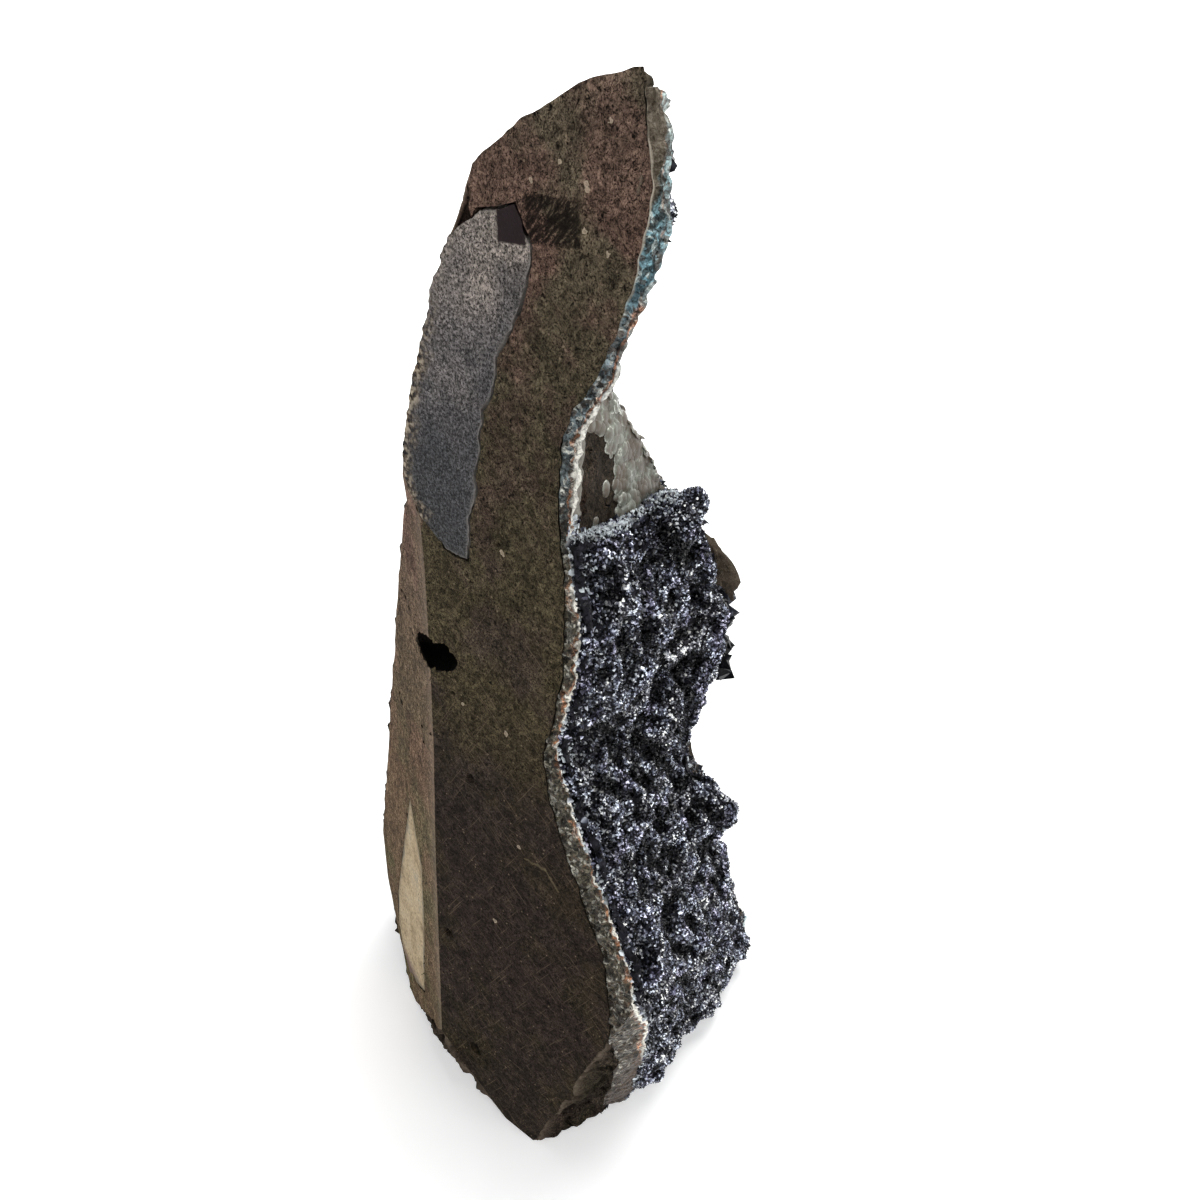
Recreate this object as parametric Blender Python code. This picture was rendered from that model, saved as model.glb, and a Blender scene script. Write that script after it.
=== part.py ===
"""A tall upright black amethyst specimen, 300 mm high.

A wedge of basalt stands on a sawn foot. Its front and its left side are sawn flat, its back is
broken rock. The right side is half of a hollow: a rind of blue-grey chalcedony lines it, and a
crust of small black amethyst points grew on the rind, apart from one bare place where both
broke away. A vein of grey agate lies flush in the sawn front, a cream one in the left side.

The stone is a loft through level sections. Each section runs round five corners: the left edge
and the rim of the sawn front, the back rim of the hollow, the two corners of the back, and the
back edge of the sawn left side. Sizes are in millimetres, and MM turns them to metres.
Z is up, and X runs to the right of a person who looks along +Y at the specimen.
"""
import math
import random

import bmesh
import bpy
from mathutils import Matrix, Vector, noise

MM = 0.001
GAP = 0.3                       # between touching pieces

HEIGHT = 300.0
FRONT_YAW = 40.0                # degrees that the sawn front is turned to the left
FRONT_DISTANCE = 47.2           # of the sawn front from the Z axis
SIDE_YAW = 64.0                 # degrees that the sawn left side is turned to the left

# Outlines of the sawn front: (height, distance along the front, positive to the right)
LEFT_EDGE = [(0, -14.2), (22, -12.7), (99, -7.4), (135, -4.2), (160, -2.6), (190, -1.4),
             (207, -1.5), (212.5, -4.8), (218, -4.5), (230, -1.0), (241, 2.7), (258, 10.0),
             (268, 14.9), (275, 19.3), (283, 22.9), (287.3, 28.5), (293.2, 40.1), (298, 51.0),
             (299, 58.0), (300, 61.0)]
RIM = [(0, 36.0), (20, 44.0), (45, 53.0), (72, 57.4), (81, 56.7), (95, 55.6), (106, 51.3),
       (117, 46.5), (128, 41.7), (140, 37.4), (154, 35.9), (160, 37.1), (166, 40.1), (174, 42.2),
       (186, 43.0), (203, 44.3), (209, 42.2), (225, 42.8), (233, 44.1), (242, 48.2), (249, 54.0),
       (256, 57.3), (265, 60.8), (272, 64.2), (282, 65.6), (291, 64.0), (300, 62.9)]
# Width of the sawn left side: (height, distance back from the left edge)
SIDE_WIDTH = [(0, 36.5), (9, 42.4), (22, 50.4), (31, 57.9), (38, 60.4), (56, 62.3), (97, 48.7),
              (126, 41.7), (168, 28.4), (197, 15.9), (213, 4.0), (225, 0.8), (300, 0.5)]
# Back rim of the hollow: (height, x), (height, y)
BACK_RIM_X = [(0, 61.5), (14, 61.5), (40, 52.5), (70, 45), (90, 43), (105, 34), (127, 40),
              (143, 44.5), (160, 44), (177, 38), (199, 28), (215, 21), (230, 12.7), (246, 8), (262, 8), (276, 9),
              (290, 12), (300, 16)]
BACK_RIM_Y = [(0, 30), (14, 27), (40, 23), (70, 18), (105, 8), (127, 14), (160, 15), (177, 10),
              (199, -5), (215, -13), (230, -21), (246, -27), (262, -34), (276, -41), (290, -50),
              (300, -56)]
# How far the wall of the hollow bows out (+) or in (-) half way back
BOW = [(0, 3), (60, 2), (100, -2), (150, -5), (200, -3), (232, -4), (246, -12), (262, -10),
       (285, -7), (294, 2), (300, 4)]

# The broken back leans forward as it rises: y = at the foot + skew * x - lean * height
BACK_FOOT = 76.0
BACK_SKEW = 0.193
BACK_LEAN = 0.395
BACK_ROUGHNESS = 8.0
BACK_CHIPS = 3.5                # small chips on the broken faces
CHIP_GRAIN = 15.0
BACK_GRAIN = 34.0               # size of the broken faces of the back
ROUGH_FROM_EDGE = 0.15          # share of the way round over which the roughness sets in
THIN_TOP = 20.0                 # the thin top is less rough than the rest,
FULL_THICKNESS = 60.0           # which is this thick or more
FLANK_STEP = 1.5                # the left flank runs this far in, as it runs back
TOP_FALL = 0.26                 # how steeply the broken top falls away behind the front
TOP_FALL_START = 262.0

# The hollow: its layers and where they are missing
RIND_AT_RIM = [(0, 9), (120, 9.5), (145, 8.0), (156, 4.2), (170, 3.4), (190, 5.2), (207, 1.6),
               (217, 3.8), (228, 5), (250, 4.2), (258, 2.8), (270, 4.4), (282, 4.0), (290, 4.4),
               (293, 2.4), (296, 2.7), (300, 1.0)]
RIND_INSIDE = 4.0
LINING_FOOT = 2.0               # rind and crust end this far above the foot
FOOT_FLARE = 25.0               # up to here they turn level, so that they stay off the ground
CRUST_TOP = 212.0               # at the rim; bare rock above it
CRUST_SAG = 13.0                # the crust ends this much lower at the back rim
CRUST_DIP = 5.0                 # and this much lower again half way
BARE_TOP = 241.0                # the upper crust begins here
UPPER_CRUST_END = 290.0
CRUST_EDGE = 2.4                # thickness of the crust where it ends
CRUST_BODY = 4.6                # and everywhere else
CRUST_TAPER = 7.0               # the crust thins over this height at its upper and lower ends
CRUST_TOP_FULL = 0.6            # but at the top edge it is already this far to its full thickness
CRUST_SIDE_TAPER = 0.11         # share of the width over which it thins at both rims
POINT_HEIGHT = 2.2              # of the amethyst points that stand on the crust
POINT_LEAN = 1.2                # how far a point's tip strays from the middle of its foot
HOLLOW_ROUGHNESS = 2.2
HOLLOW_GRAIN = 30.0

# Larger lumps of the crust: height, place from rim (0) to back rim (1), radius, rise
LUMPS = [(212, 0.93, 10, 11.0), (186, 0.52, 15, 4.0), (190, 0.16, 10, 3.0), (168, 0.80, 13, 5.0),
         (160, 0.30, 14, 4.0), (146, 0.62, 12, 4.0), (124, 0.35, 16, 3.0), (98, 0.60, 17, 3.0),
         (95, 0.92, 13, 10.5), (70, 0.40, 18, 3.5), (44, 0.70, 18, 3.5), (10, 0.70, 12, 3.0),
         (268, 0.50, 11, 4.0), (274, 0.13, 6, 6.5), (252, 0.60, 10, 3.0)]
CREVICE = (158, 0.50, 9, 6.0)   # a deep gap between the upper lumps
SMALL_LUMPS = 90
SMALL_LUMP_RADIUS = (5.0, 9.0)
SMALL_LUMP_RISE = 0.4           # for its radius

# How finely the stone is divided
HOLLOW_COLUMNS = 14
LOWER_LEVELS = 27
MIDDLE_LEVELS = 4
UPPER_LEVELS = 8
TOP_HEIGHTS = [298.2, 299.2, 300.0]
UPPER_END = 297.0               # the rind ends here
FLANK_COLUMNS = 3
BACK_COLUMNS = 10
CORNER_INSET = 2.0              # the corners of the back stand this far inside the back rim

# Grey agate in the sawn front: (distance along the front, height)
AGATE_OUTLINE = [(22.8, 275.0), (33.8, 277.3), (35.1, 273.0), (37.2, 269.5), (36.1, 262.0),
                 (33.5, 256.4), (26.8, 246.5), (25.2, 238.5), (21.9, 234.5), (19.1, 216.6),
                 (15.9, 208.0), (15.0, 196.6), (5.4, 198.0), (4.6, 202.0), (0.6, 207.5),
                 (-2.4, 212.0), (-2.4, 219.0), (4.4, 240.5), (11.6, 257.5), (19.8, 271.5)]
AGATE_DEPTH = 5.0
# Cream vein in the sawn left side: (distance behind the left edge, height)
CREAM_OUTLINE = [(24.5, 100.0), (20.0, 89.0), (15.0, 79.0), (14.5, 62.0), (16.0, 40.0),
                 (18.5, 18.0), (27.0, 13.0), (36.0, 9.0), (44.0, 14.0), (48.0, 24.0),
                 (46.0, 41.0), (36.5, 68.0), (29.0, 88.0)]
CREAM_DEPTH = 4.0
SIDE_TRUE_TO = 99.0             # the sawn left side is one true plane up to this height
OUTLINE_OUT = 20.0              # how far a pocket's cutter stands out of the sawn face

# Small hole on the left edge
HOLE_PLACE = (-3.0, 165.8)      # (distance along the front, height)
HOLE_SIZE = (11.0, 4.6, 12.0)   # half its width, height and depth
HOLE_TILT = math.radians(8.0)
HOLE_WOBBLE = 0.25              # how far it strays from a round hole

# Broken corners at the foot: a point on the break, its outward direction, width of the cutter
FRONT_FOOT_BREAK = ((11.2, -60.5, 39.0), (0.394, -0.843, -0.368), 150.0)
LEFT_FOOT_BREAK = ((-40.5, -28.5, 21.0), (-0.764, -0.572, -0.297), 90.0)
BREAK_CELLS = 9
BREAK_GRAIN = 14.0
BREAK_ROUGHNESS = 1.6

STONE_BROWN = (0.065, 0.047, 0.038)
RIND_BLUE = (0.22, 0.33, 0.36)
CRUST_BLACK = (0.028, 0.027, 0.040)
AGATE_GREY = (0.17, 0.17, 0.19)
VEIN_CREAM = (0.48, 0.43, 0.33)


def at_height(profile, height):
    """Value of a (height, value) profile, straight between its points."""
    low = profile[0]
    for high in profile[1:]:
        if height <= high[0]:
            share = (height - low[0]) / (high[0] - low[0])
            return low[1] + (high[1] - low[1]) * max(0.0, share)
        low = high
    return low[1]


def smooth(share):
    share = min(1.0, max(0.0, share))
    return share * share * (3.0 - 2.0 * share)


def facing(yaw):
    """Outward and sideways directions of an upright plane turned to the left."""
    turn = math.radians(yaw)
    outward = Vector((-math.sin(turn), -math.cos(turn), 0.0))
    along = Vector((math.cos(turn), -math.sin(turn), 0.0))
    return outward, along


FRONT_OUT, FRONT_ALONG = facing(FRONT_YAW)
SIDE_OUT, SIDE_ALONG = facing(SIDE_YAW)


def on_front(along, height):
    point = FRONT_OUT * FRONT_DISTANCE + FRONT_ALONG * along
    return Vector((point.x, point.y, height))


def left_edge(height):
    return on_front(at_height(LEFT_EDGE, height), height)


def side_back_edge(height):
    return left_edge(height) - SIDE_ALONG * at_height(SIDE_WIDTH, height)


def on_back(x, height):
    return Vector((x, BACK_FOOT + BACK_SKEW * x - BACK_LEAN * height, height))


def sag(height, back=1.0):
    """Levels dip towards the back rim, so that one of them follows the crust's upper end."""
    dip = CRUST_SAG * back + CRUST_DIP * math.sin(math.pi * back)
    if height <= CRUST_TOP:
        return -dip * height / CRUST_TOP
    return -dip * max(0.0, (BARE_TOP - height) / (BARE_TOP - CRUST_TOP))


def roughness(point, grain, seed):
    """Broken rock, from about -1 to 1: facets of a Voronoi pattern, with a little finer grain."""
    where = Vector((point.x, point.y, point.z)) / grain + Vector((seed, -seed, seed))
    near, far = noise.voronoi(where)[0][:2]
    return 0.9 * (far - near) - 0.35 + 0.35 * noise.noise(where * 2.3)


def hollow_point(height, back):
    """Wall of the hollow: back is 0 at the rim of the sawn front and 1 at the back rim."""
    rim = on_front(at_height(RIM, height), height)
    low = height + sag(height)
    rear = Vector((at_height(BACK_RIM_X, low), at_height(BACK_RIM_Y, low), low))
    point = rim.lerp(rear, back)
    point.z = height + sag(height, back)
    out = Vector((rear.y - rim.y, rim.x - rear.x, 0.0)).normalized()
    middle = math.sin(math.pi * back)
    return point + out * middle * (at_height(BOW, height)
                                   + HOLLOW_ROUGHNESS * roughness(point, HOLLOW_GRAIN, 3.7))


def hollow_out(height, back):
    """Direction in which rind and crust grow; at the sawn front they end flush with it."""
    if back == 0.0:
        return FRONT_ALONG.copy()
    step = 0.02
    across = hollow_point(height, min(1.0, back + step)) - hollow_point(height, back - step)
    up = hollow_point(min(HEIGHT, height + 2.0), back) - hollow_point(max(0, height - 2.0), back)
    out = across.cross(up).normalized()
    out.z *= smooth((height - LINING_FOOT) / FOOT_FLARE)
    return out


def levels():
    """Heights of the sections, measured at the sawn front."""
    heights = [0.0, LINING_FOOT]
    heights += [LINING_FOOT + (CRUST_TOP - LINING_FOOT) * i / LOWER_LEVELS
                for i in range(1, LOWER_LEVELS + 1)]
    heights += [CRUST_TOP + (BARE_TOP - CRUST_TOP) * i / MIDDLE_LEVELS
                for i in range(1, MIDDLE_LEVELS + 1)]
    heights += [BARE_TOP + (UPPER_END - BARE_TOP) * i / UPPER_LEVELS
                for i in range(1, UPPER_LEVELS + 1)]
    return heights + TOP_HEIGHTS


def section(height):
    """One section of the stone, round from the rim through the hollow, back and left side."""
    hollow = [hollow_point(height, i / HOLLOW_COLUMNS) for i in range(HOLLOW_COLUMNS + 1)]
    rear = hollow[-1]
    back_edge = side_back_edge(height)
    left_corner = on_back(back_edge.x + FLANK_STEP, height)
    right_corner = on_back(max(rear.x - CORNER_INSET, left_corner.x + 1.0), height)
    right_corner.y = max(right_corner.y, rear.y + CORNER_INSET)
    corners = [(rear, right_corner, FLANK_COLUMNS), (right_corner, left_corner, BACK_COLUMNS),
               (left_corner, back_edge, FLANK_COLUMNS)]
    broken = []
    for start, end, columns in corners:
        broken += [start.lerp(end, i / columns) for i in range(columns)]
    broken = broken[1:]
    thickness = right_corner.y - back_edge.y
    thin = min(1.0, (thickness + THIN_TOP) / FULL_THICKNESS)
    for number, point in enumerate(broken, 1):
        share = number / (len(broken) + 1)
        point.z = height + sag(height) * (1.0 - share)
        out = Vector((point.x * 0.6, 60.0, 0.0)).normalized()
        fade = smooth(share / ROUGH_FROM_EDGE) * smooth((1.0 - share) / ROUGH_FROM_EDGE) * thin
        point += out * fade * (BACK_ROUGHNESS * roughness(point, BACK_GRAIN, 1.3)
                               + BACK_CHIPS * roughness(point, CHIP_GRAIN, 8.1))
    points = hollow + broken + [back_edge, left_edge(height)]
    fall = TOP_FALL * smooth((height - TOP_FALL_START) / (HEIGHT - TOP_FALL_START))
    for point in points:
        behind = -(point.dot(FRONT_OUT) - FRONT_DISTANCE)
        point.z -= fall * max(0.0, behind)
    return points


def mesh_object(name, bm, collection, colour=None, finish=0.8):
    """Scale a mesh in millimetres to metres and give it an object of its own."""
    bmesh.ops.scale(bm, vec=(MM, MM, MM), verts=bm.verts)
    bmesh.ops.recalc_face_normals(bm, faces=bm.faces)
    mesh = bpy.data.meshes.new(name)
    bm.to_mesh(mesh)
    bm.free()
    part = bpy.data.objects.new(name, mesh)
    collection.objects.link(part)
    if colour is None:
        part.hide_render = True
        part.display_type = "WIRE"
    else:
        mesh.materials.append(material(name, colour, finish))
    return part


def material(name, colour, finish):
    surface = bpy.data.materials.new(name)
    surface.use_nodes = True
    shader = surface.node_tree.nodes["Principled BSDF"]
    shader.inputs["Base Color"].default_value = (*colour, 1.0)
    shader.inputs["Roughness"].default_value = finish
    surface.diffuse_color = (*colour, 1.0)
    return surface


LEVELS = levels()
SECTIONS = [section(height) for height in LEVELS]
HOLLOW_OUT = [[hollow_out(height, i / HOLLOW_COLUMNS) for i in range(HOLLOW_COLUMNS + 1)]
              for height in LEVELS]


def basalt_host(collection):
    """The stone itself: a loft through all the sections, closed at foot and top."""
    bm = bmesh.new()
    rings = [[bm.verts.new(point) for point in ring] for ring in SECTIONS]
    for lower, upper in zip(rings, rings[1:]):
        for i in range(len(lower)):
            j = (i + 1) % len(lower)
            bm.faces.new((lower[i], lower[j], upper[j], upper[i]))
    bm.faces.new(list(reversed(rings[0])))
    bm.faces.new(rings[-1])
    bmesh.ops.triangulate(bm, faces=bm.faces[:])
    return mesh_object("basalt_host", bm, collection, STONE_BROWN, 0.85)


def sheet_on_hollow(name, collection, colour, finish, inner, outer, has_cell, points=0.0):
    """A layer on the wall of the hollow, between two depths, over the cells it covers.

    points raises the middle of every outer face to a crystal tip of that height.
    """
    bm = bmesh.new()
    sides = []
    for depth in (inner, outer):
        grid = {}
        for j, height in enumerate(LEVELS):
            for i in range(HOLLOW_COLUMNS + 1):
                if any(has_cell(a, b) for a in (i - 1, i) for b in (j - 1, j)):
                    back = i / HOLLOW_COLUMNS
                    point = SECTIONS[j][i] + HOLLOW_OUT[j][i] * depth(height, back)
                    grid[i, j] = bm.verts.new(point)
        sides.append(grid)
    under, over = sides
    tops = []
    for j in range(len(LEVELS) - 1):
        for i in range(HOLLOW_COLUMNS):
            if not has_cell(i, j):
                continue
            corners = [(i, j), (i + 1, j), (i + 1, j + 1), (i, j + 1)]
            bm.faces.new([under[c] for c in reversed(corners)])
            tops.append(bm.faces.new([over[c] for c in corners]))
            for neighbour, first, second in (((i, j - 1), 0, 1), ((i + 1, j), 1, 2),
                                             ((i, j + 1), 2, 3), ((i - 1, j), 3, 0)):
                if not has_cell(*neighbour):
                    a, b = corners[first], corners[second]
                    bm.faces.new((under[a], under[b], over[b], over[a]))
    if points:
        chance = random.Random(5)
        for tip in bmesh.ops.poke(bm, faces=tops, offset=points, center_mode="MEAN")["verts"]:
            stray = Vector([chance.uniform(-POINT_LEAN, POINT_LEAN) for _ in range(3)])
            tip.co += stray
    bmesh.ops.triangulate(bm, faces=bm.faces[:])
    return mesh_object(name, bm, collection, colour, finish)


def rind_depth(height, back):
    at_rim = at_height(RIND_AT_RIM, height)
    return at_rim + (RIND_INSIDE - at_rim) * smooth(back / 0.3)


def lumps_at(point, lumps):
    """Rise of the highest round lump over a point of the wall."""
    rise = 0.0
    for centre, radius, height in lumps:
        reach = (point - centre).length / radius
        if reach < 1.0:
            rise = max(rise, height * math.sqrt(1.0 - reach * reach))
    return rise


def crust_lumps():
    """Chosen large lumps, and small ones scattered all over the crust."""
    chance = random.Random(11)
    large = [(hollow_point(height, back), radius, rise)
             for height, back, radius, rise in LUMPS]
    small = []
    for _ in range(SMALL_LUMPS):
        height = chance.uniform(0.0, UPPER_END)
        radius = chance.uniform(*SMALL_LUMP_RADIUS)
        small.append((hollow_point(height, chance.random()), radius, radius * SMALL_LUMP_RISE))
    return large, small


LARGE_LUMPS, SCATTERED_LUMPS = crust_lumps()


def crust_depth(height, back):
    """Top of the crust: thin where it ends, lumpy between."""
    ends = (back / CRUST_SIDE_TAPER, (1.0 - back) / CRUST_SIDE_TAPER,
            (height - LINING_FOOT) / CRUST_TAPER,
            abs(height - CRUST_TOP) / CRUST_TAPER + CRUST_TOP_FULL,
            abs(height - BARE_TOP) / CRUST_TAPER, (UPPER_CRUST_END - height) / CRUST_TAPER)
    body = min(smooth(end) for end in ends)
    point = hollow_point(height, back)
    thickness = CRUST_BODY + lumps_at(point, LARGE_LUMPS) + lumps_at(point, SCATTERED_LUMPS)
    gap_height, gap_back, radius, depth = CREVICE
    near = (point - hollow_point(gap_height, gap_back)).length / radius
    thickness -= depth * smooth(1.0 - near)
    return (rind_depth(height, back) + GAP + CRUST_EDGE
            + body * (max(thickness, CRUST_EDGE) - CRUST_EDGE))


def lining(collection):
    """Rind and crust of the hollow. The rind stays only as a strip at the rim of the bare rock."""
    first = LEVELS.index(LINING_FOOT)
    crust_end = first + LOWER_LEVELS
    upper_start = crust_end + MIDDLE_LEVELS
    rind_end = upper_start + UPPER_LEVELS
    upper_crust_end = LEVELS.index(UPPER_CRUST_END)

    def has_rind(i, j):
        if not (0 <= i < HOLLOW_COLUMNS and first <= j < rind_end):
            return False
        return i == 0 or j < crust_end or j >= upper_start

    def has_crust(i, j):
        return 0 <= i < HOLLOW_COLUMNS - 1 and first <= j < crust_end

    def has_upper_crust(i, j):
        return 1 <= i < HOLLOW_COLUMNS - 1 and upper_start <= j < upper_crust_end

    def rind_foot(height, back):
        return GAP

    def crust_foot(height, back):
        return rind_depth(height, back) + GAP

    pieces = [sheet_on_hollow("chalcedony_rind", collection, RIND_BLUE, 0.45,
                              rind_foot, rind_depth, has_rind)]
    for name, covers in (("amethyst_crust", has_crust), ("upper_amethyst_crust", has_upper_crust)):
        pieces.append(sheet_on_hollow(name, collection, CRUST_BLACK, 0.15,
                                      crust_foot, crust_depth, covers, POINT_HEIGHT))
    return pieces


def broken_slab(name, collection, place, seed):
    """Cutter for a broken corner: a rough face through a point, and a block outside it."""
    corner, outward, size = place
    bm = bmesh.new()
    bmesh.ops.create_grid(bm, x_segments=BREAK_CELLS, y_segments=BREAK_CELLS, size=size / 2)
    for vert in bm.verts:
        where = vert.co / BREAK_GRAIN + Vector((seed, seed, 0.0))
        vert.co.z = BREAK_ROUGHNESS * noise.noise(where)
    top = bmesh.ops.extrude_face_region(bm, geom=bm.faces[:])
    moved = [item for item in top["geom"] if isinstance(item, bmesh.types.BMVert)]
    bmesh.ops.translate(bm, vec=(0.0, 0.0, size), verts=moved)
    turn = Vector(outward).to_track_quat("Z", "Y").to_matrix().to_4x4()
    bmesh.ops.transform(bm, matrix=Matrix.Translation(Vector(corner)) @ turn, verts=bm.verts)
    return mesh_object(name, bm, collection)


def front_frame():
    """Matrix whose X runs along the sawn front, Y up and Z out of it."""
    turn = Matrix((FRONT_ALONG, Vector((0.0, 0.0, 1.0)), FRONT_OUT)).transposed().to_4x4()
    return Matrix.Translation(FRONT_OUT * FRONT_DISTANCE) @ turn


def side_frame():
    """Matrix whose X runs back along the sawn left side, Y up its left edge and Z out of it."""
    corner = left_edge(0.0)
    up = (left_edge(SIDE_TRUE_TO) - corner) / SIDE_TRUE_TO
    out = up.cross(SIDE_ALONG).normalized()
    if out.dot(SIDE_OUT) < 0.0:
        out.negate()
    return Matrix.Translation(corner) @ Matrix((-SIDE_ALONG, up, out)).transposed().to_4x4()


def burst_pocket(collection):
    """Cutter for the small dark hole that the saw opened on the left edge."""
    bm = bmesh.new()
    bmesh.ops.create_icosphere(bm, subdivisions=2, radius=1.0)
    for vert in bm.verts:
        vert.co *= 1.0 + HOLE_WOBBLE * noise.noise(vert.co * 2.5)
    bmesh.ops.scale(bm, vec=HOLE_SIZE, verts=bm.verts)
    place = front_frame() @ Matrix.Translation((*HOLE_PLACE, 0.0))
    bmesh.ops.transform(bm, matrix=place @ Matrix.Rotation(HOLE_TILT, 4, "Z"), verts=bm.verts)
    return mesh_object("burst_pocket", bm, collection)


def outline_solid(name, collection, outline, frame, inside, outside, shrink, colour=None):
    """A solid with a flat outline, from a depth inside a sawn face to a height outside it."""
    curve = bpy.data.curves.new(name, "CURVE")
    curve.dimensions = "2D"
    curve.fill_mode = "BOTH"
    curve.extrude = (inside + outside) / 2 * MM
    curve.offset = -shrink * MM
    spline = curve.splines.new("POLY")
    spline.points.add(len(outline) - 1)
    for point, (x, y) in zip(spline.points, outline):
        point.co = (x * MM, y * MM, 0.0, 1.0)
    spline.use_cyclic_u = True
    flat = bpy.data.objects.new(name + "_outline", curve)
    collection.objects.link(flat)
    bpy.context.view_layer.update()
    seen = flat.evaluated_get(bpy.context.evaluated_depsgraph_get())
    bm = bmesh.new()
    bm.from_mesh(bpy.data.meshes.new_from_object(seen))
    bpy.data.objects.remove(flat)
    bmesh.ops.remove_doubles(bm, verts=bm.verts, dist=0.00001)
    bmesh.ops.scale(bm, vec=(1 / MM, 1 / MM, 1 / MM), verts=bm.verts)
    bmesh.ops.translate(bm, vec=(0.0, 0.0, (outside - inside) / 2), verts=bm.verts)
    bmesh.ops.transform(bm, matrix=frame, verts=bm.verts)
    return mesh_object(name, bm, collection, colour, 0.4)


def cut(part, cutter):
    modifier = part.modifiers.new(cutter.name, "BOOLEAN")
    modifier.operation = "DIFFERENCE"
    modifier.solver = "EXACT"
    modifier.object = cutter


for old in list(bpy.data.objects):
    bpy.data.objects.remove(old)
parts = bpy.data.collections.new("Black amethyst")
cutters = bpy.data.collections.new("Cutters")
for group in (parts, cutters):
    bpy.context.scene.collection.children.link(group)

host = basalt_host(parts)
rind, crust, upper_crust = lining(parts)

front_break = broken_slab("front_foot_break", cutters, FRONT_FOOT_BREAK, 4.0)
for part in (host, rind, crust):
    cut(part, front_break)
cut(host, broken_slab("left_foot_break", cutters, LEFT_FOOT_BREAK, 7.0))
cut(host, burst_pocket(cutters))

veins = [("grey_agate_vein", AGATE_OUTLINE, AGATE_DEPTH, AGATE_GREY, front_frame()),
         ("cream_vein", CREAM_OUTLINE, CREAM_DEPTH, VEIN_CREAM, side_frame())]
for name, outline, depth, colour, frame in veins:
    cut(host, outline_solid(name + "_pocket", cutters, outline, frame, depth, OUTLINE_OUT, 0.0))
    outline_solid(name, parts, outline, frame, depth - GAP, 0.0, GAP, colour)
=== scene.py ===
"""The looks of a black amethyst specimen, 300 mm high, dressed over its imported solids.

Shapes are worked out in millimetres and turned to metres where a mesh is made.
"""

import math
from functools import partial

import bmesh
import bpy
import numpy as np
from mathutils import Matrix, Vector, noise
from mathutils.bvhtree import BVHTree


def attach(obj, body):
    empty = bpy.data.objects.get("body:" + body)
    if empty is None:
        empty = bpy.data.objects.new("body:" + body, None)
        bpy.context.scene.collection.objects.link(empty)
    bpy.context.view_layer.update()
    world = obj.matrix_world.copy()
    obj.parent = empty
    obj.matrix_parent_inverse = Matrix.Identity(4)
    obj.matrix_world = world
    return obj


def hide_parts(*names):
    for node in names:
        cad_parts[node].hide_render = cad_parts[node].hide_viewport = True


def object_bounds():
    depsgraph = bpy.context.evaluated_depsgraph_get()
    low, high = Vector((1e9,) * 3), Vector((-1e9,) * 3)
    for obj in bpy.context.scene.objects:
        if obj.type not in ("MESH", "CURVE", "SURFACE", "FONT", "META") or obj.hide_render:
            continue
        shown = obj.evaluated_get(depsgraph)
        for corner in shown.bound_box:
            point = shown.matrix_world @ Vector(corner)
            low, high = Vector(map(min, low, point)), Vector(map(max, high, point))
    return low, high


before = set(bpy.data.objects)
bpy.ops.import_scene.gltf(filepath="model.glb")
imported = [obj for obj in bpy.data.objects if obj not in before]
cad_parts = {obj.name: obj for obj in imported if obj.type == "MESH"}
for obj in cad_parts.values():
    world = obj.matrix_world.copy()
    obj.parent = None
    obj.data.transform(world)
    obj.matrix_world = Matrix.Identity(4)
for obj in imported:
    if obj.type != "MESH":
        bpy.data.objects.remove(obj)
cad_box = [list(corner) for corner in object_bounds()]

# Basalt host: one wedge of dense brown basalt. Front, left side and foot are sawn flat, the back
# and two corners of the foot are broken, and the wall of the hollow shows where its lining fell
# off. The other stones grew in its hollow and in its cracks.
MM = 1000                       # millimetres in a metre
UP = np.array((0.0, 0.0, 1.0))
FRONT_TURN = math.radians(40)   # how far round to the left the sawn front faces
SIDE_TURN = math.radians(64)    # the same for the sawn left side
FRONT_OUT = np.array((-math.sin(FRONT_TURN), -math.cos(FRONT_TURN), 0.0))
FRONT_ALONG = np.array((math.cos(FRONT_TURN), -math.sin(FRONT_TURN), 0.0))
SIDE_OUT = np.array((-math.sin(SIDE_TURN), -math.cos(SIDE_TURN), 0.0))
FRONT_DISTANCE = 47.2           # from the upright axis of the frame to the sawn front
SAWN = 0.05                     # a corner this near to a sawn plane lies on it
BREAK_TOP = 75.0                # how far up the breaks of the foot reach
HOLE = Vector((-32.6, -34.2, 165.8))    # middle of the burst pocket on the left edge
# Pits in the sawn front: along it, height, radius, depth
PITS = [(9.5, 132.5, 1.5, 1.0), (-5.3, 67.6, 1.6, 1.2), (2.7, 23.1, 2.2, 1.2),
        (44.2, 287.2, 0.5, 0.3), (42.7, 293.4, 0.7, 0.4), (38.8, 292.0, 0.6, 0.4),
        (5.3, 157.0, 0.8, 0.6), (24.6, 204.4, 0.7, 0.5)]
# Filled bubbles in the sawn front: along it, height, radius
BUBBLES = [(25.6, 202.6, 1.0), (23.9, 153.1, 0.9), (8.9, 155.4, 0.6), (15.7, 85.6, 1.1),
           (51.0, 280.6, 0.8), (50.8, 281.6, 0.7), (50.5, 273.5, 0.6), (55.8, 270.2, 0.5),
           (37.5, 281.2, 0.5), (56.3, 291.8, 0.6), (44.6, 284.7, 0.4), (26.5, 118.6, 0.6)]
# Ends and bend of a thin filled crack in the sawn front: along it, 0, height
CRACK = np.array([(28.6, 0.0, 115.8), (35.6, 0.0, 116.2), (40.0, 0.0, 111.4)])


def waves(points, size, seed):
    """Smooth noise from about -1 to 1 at each point, with lumps of one size."""
    return np.array([noise.noise(Vector(p)) for p in points / size + seed])


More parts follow.
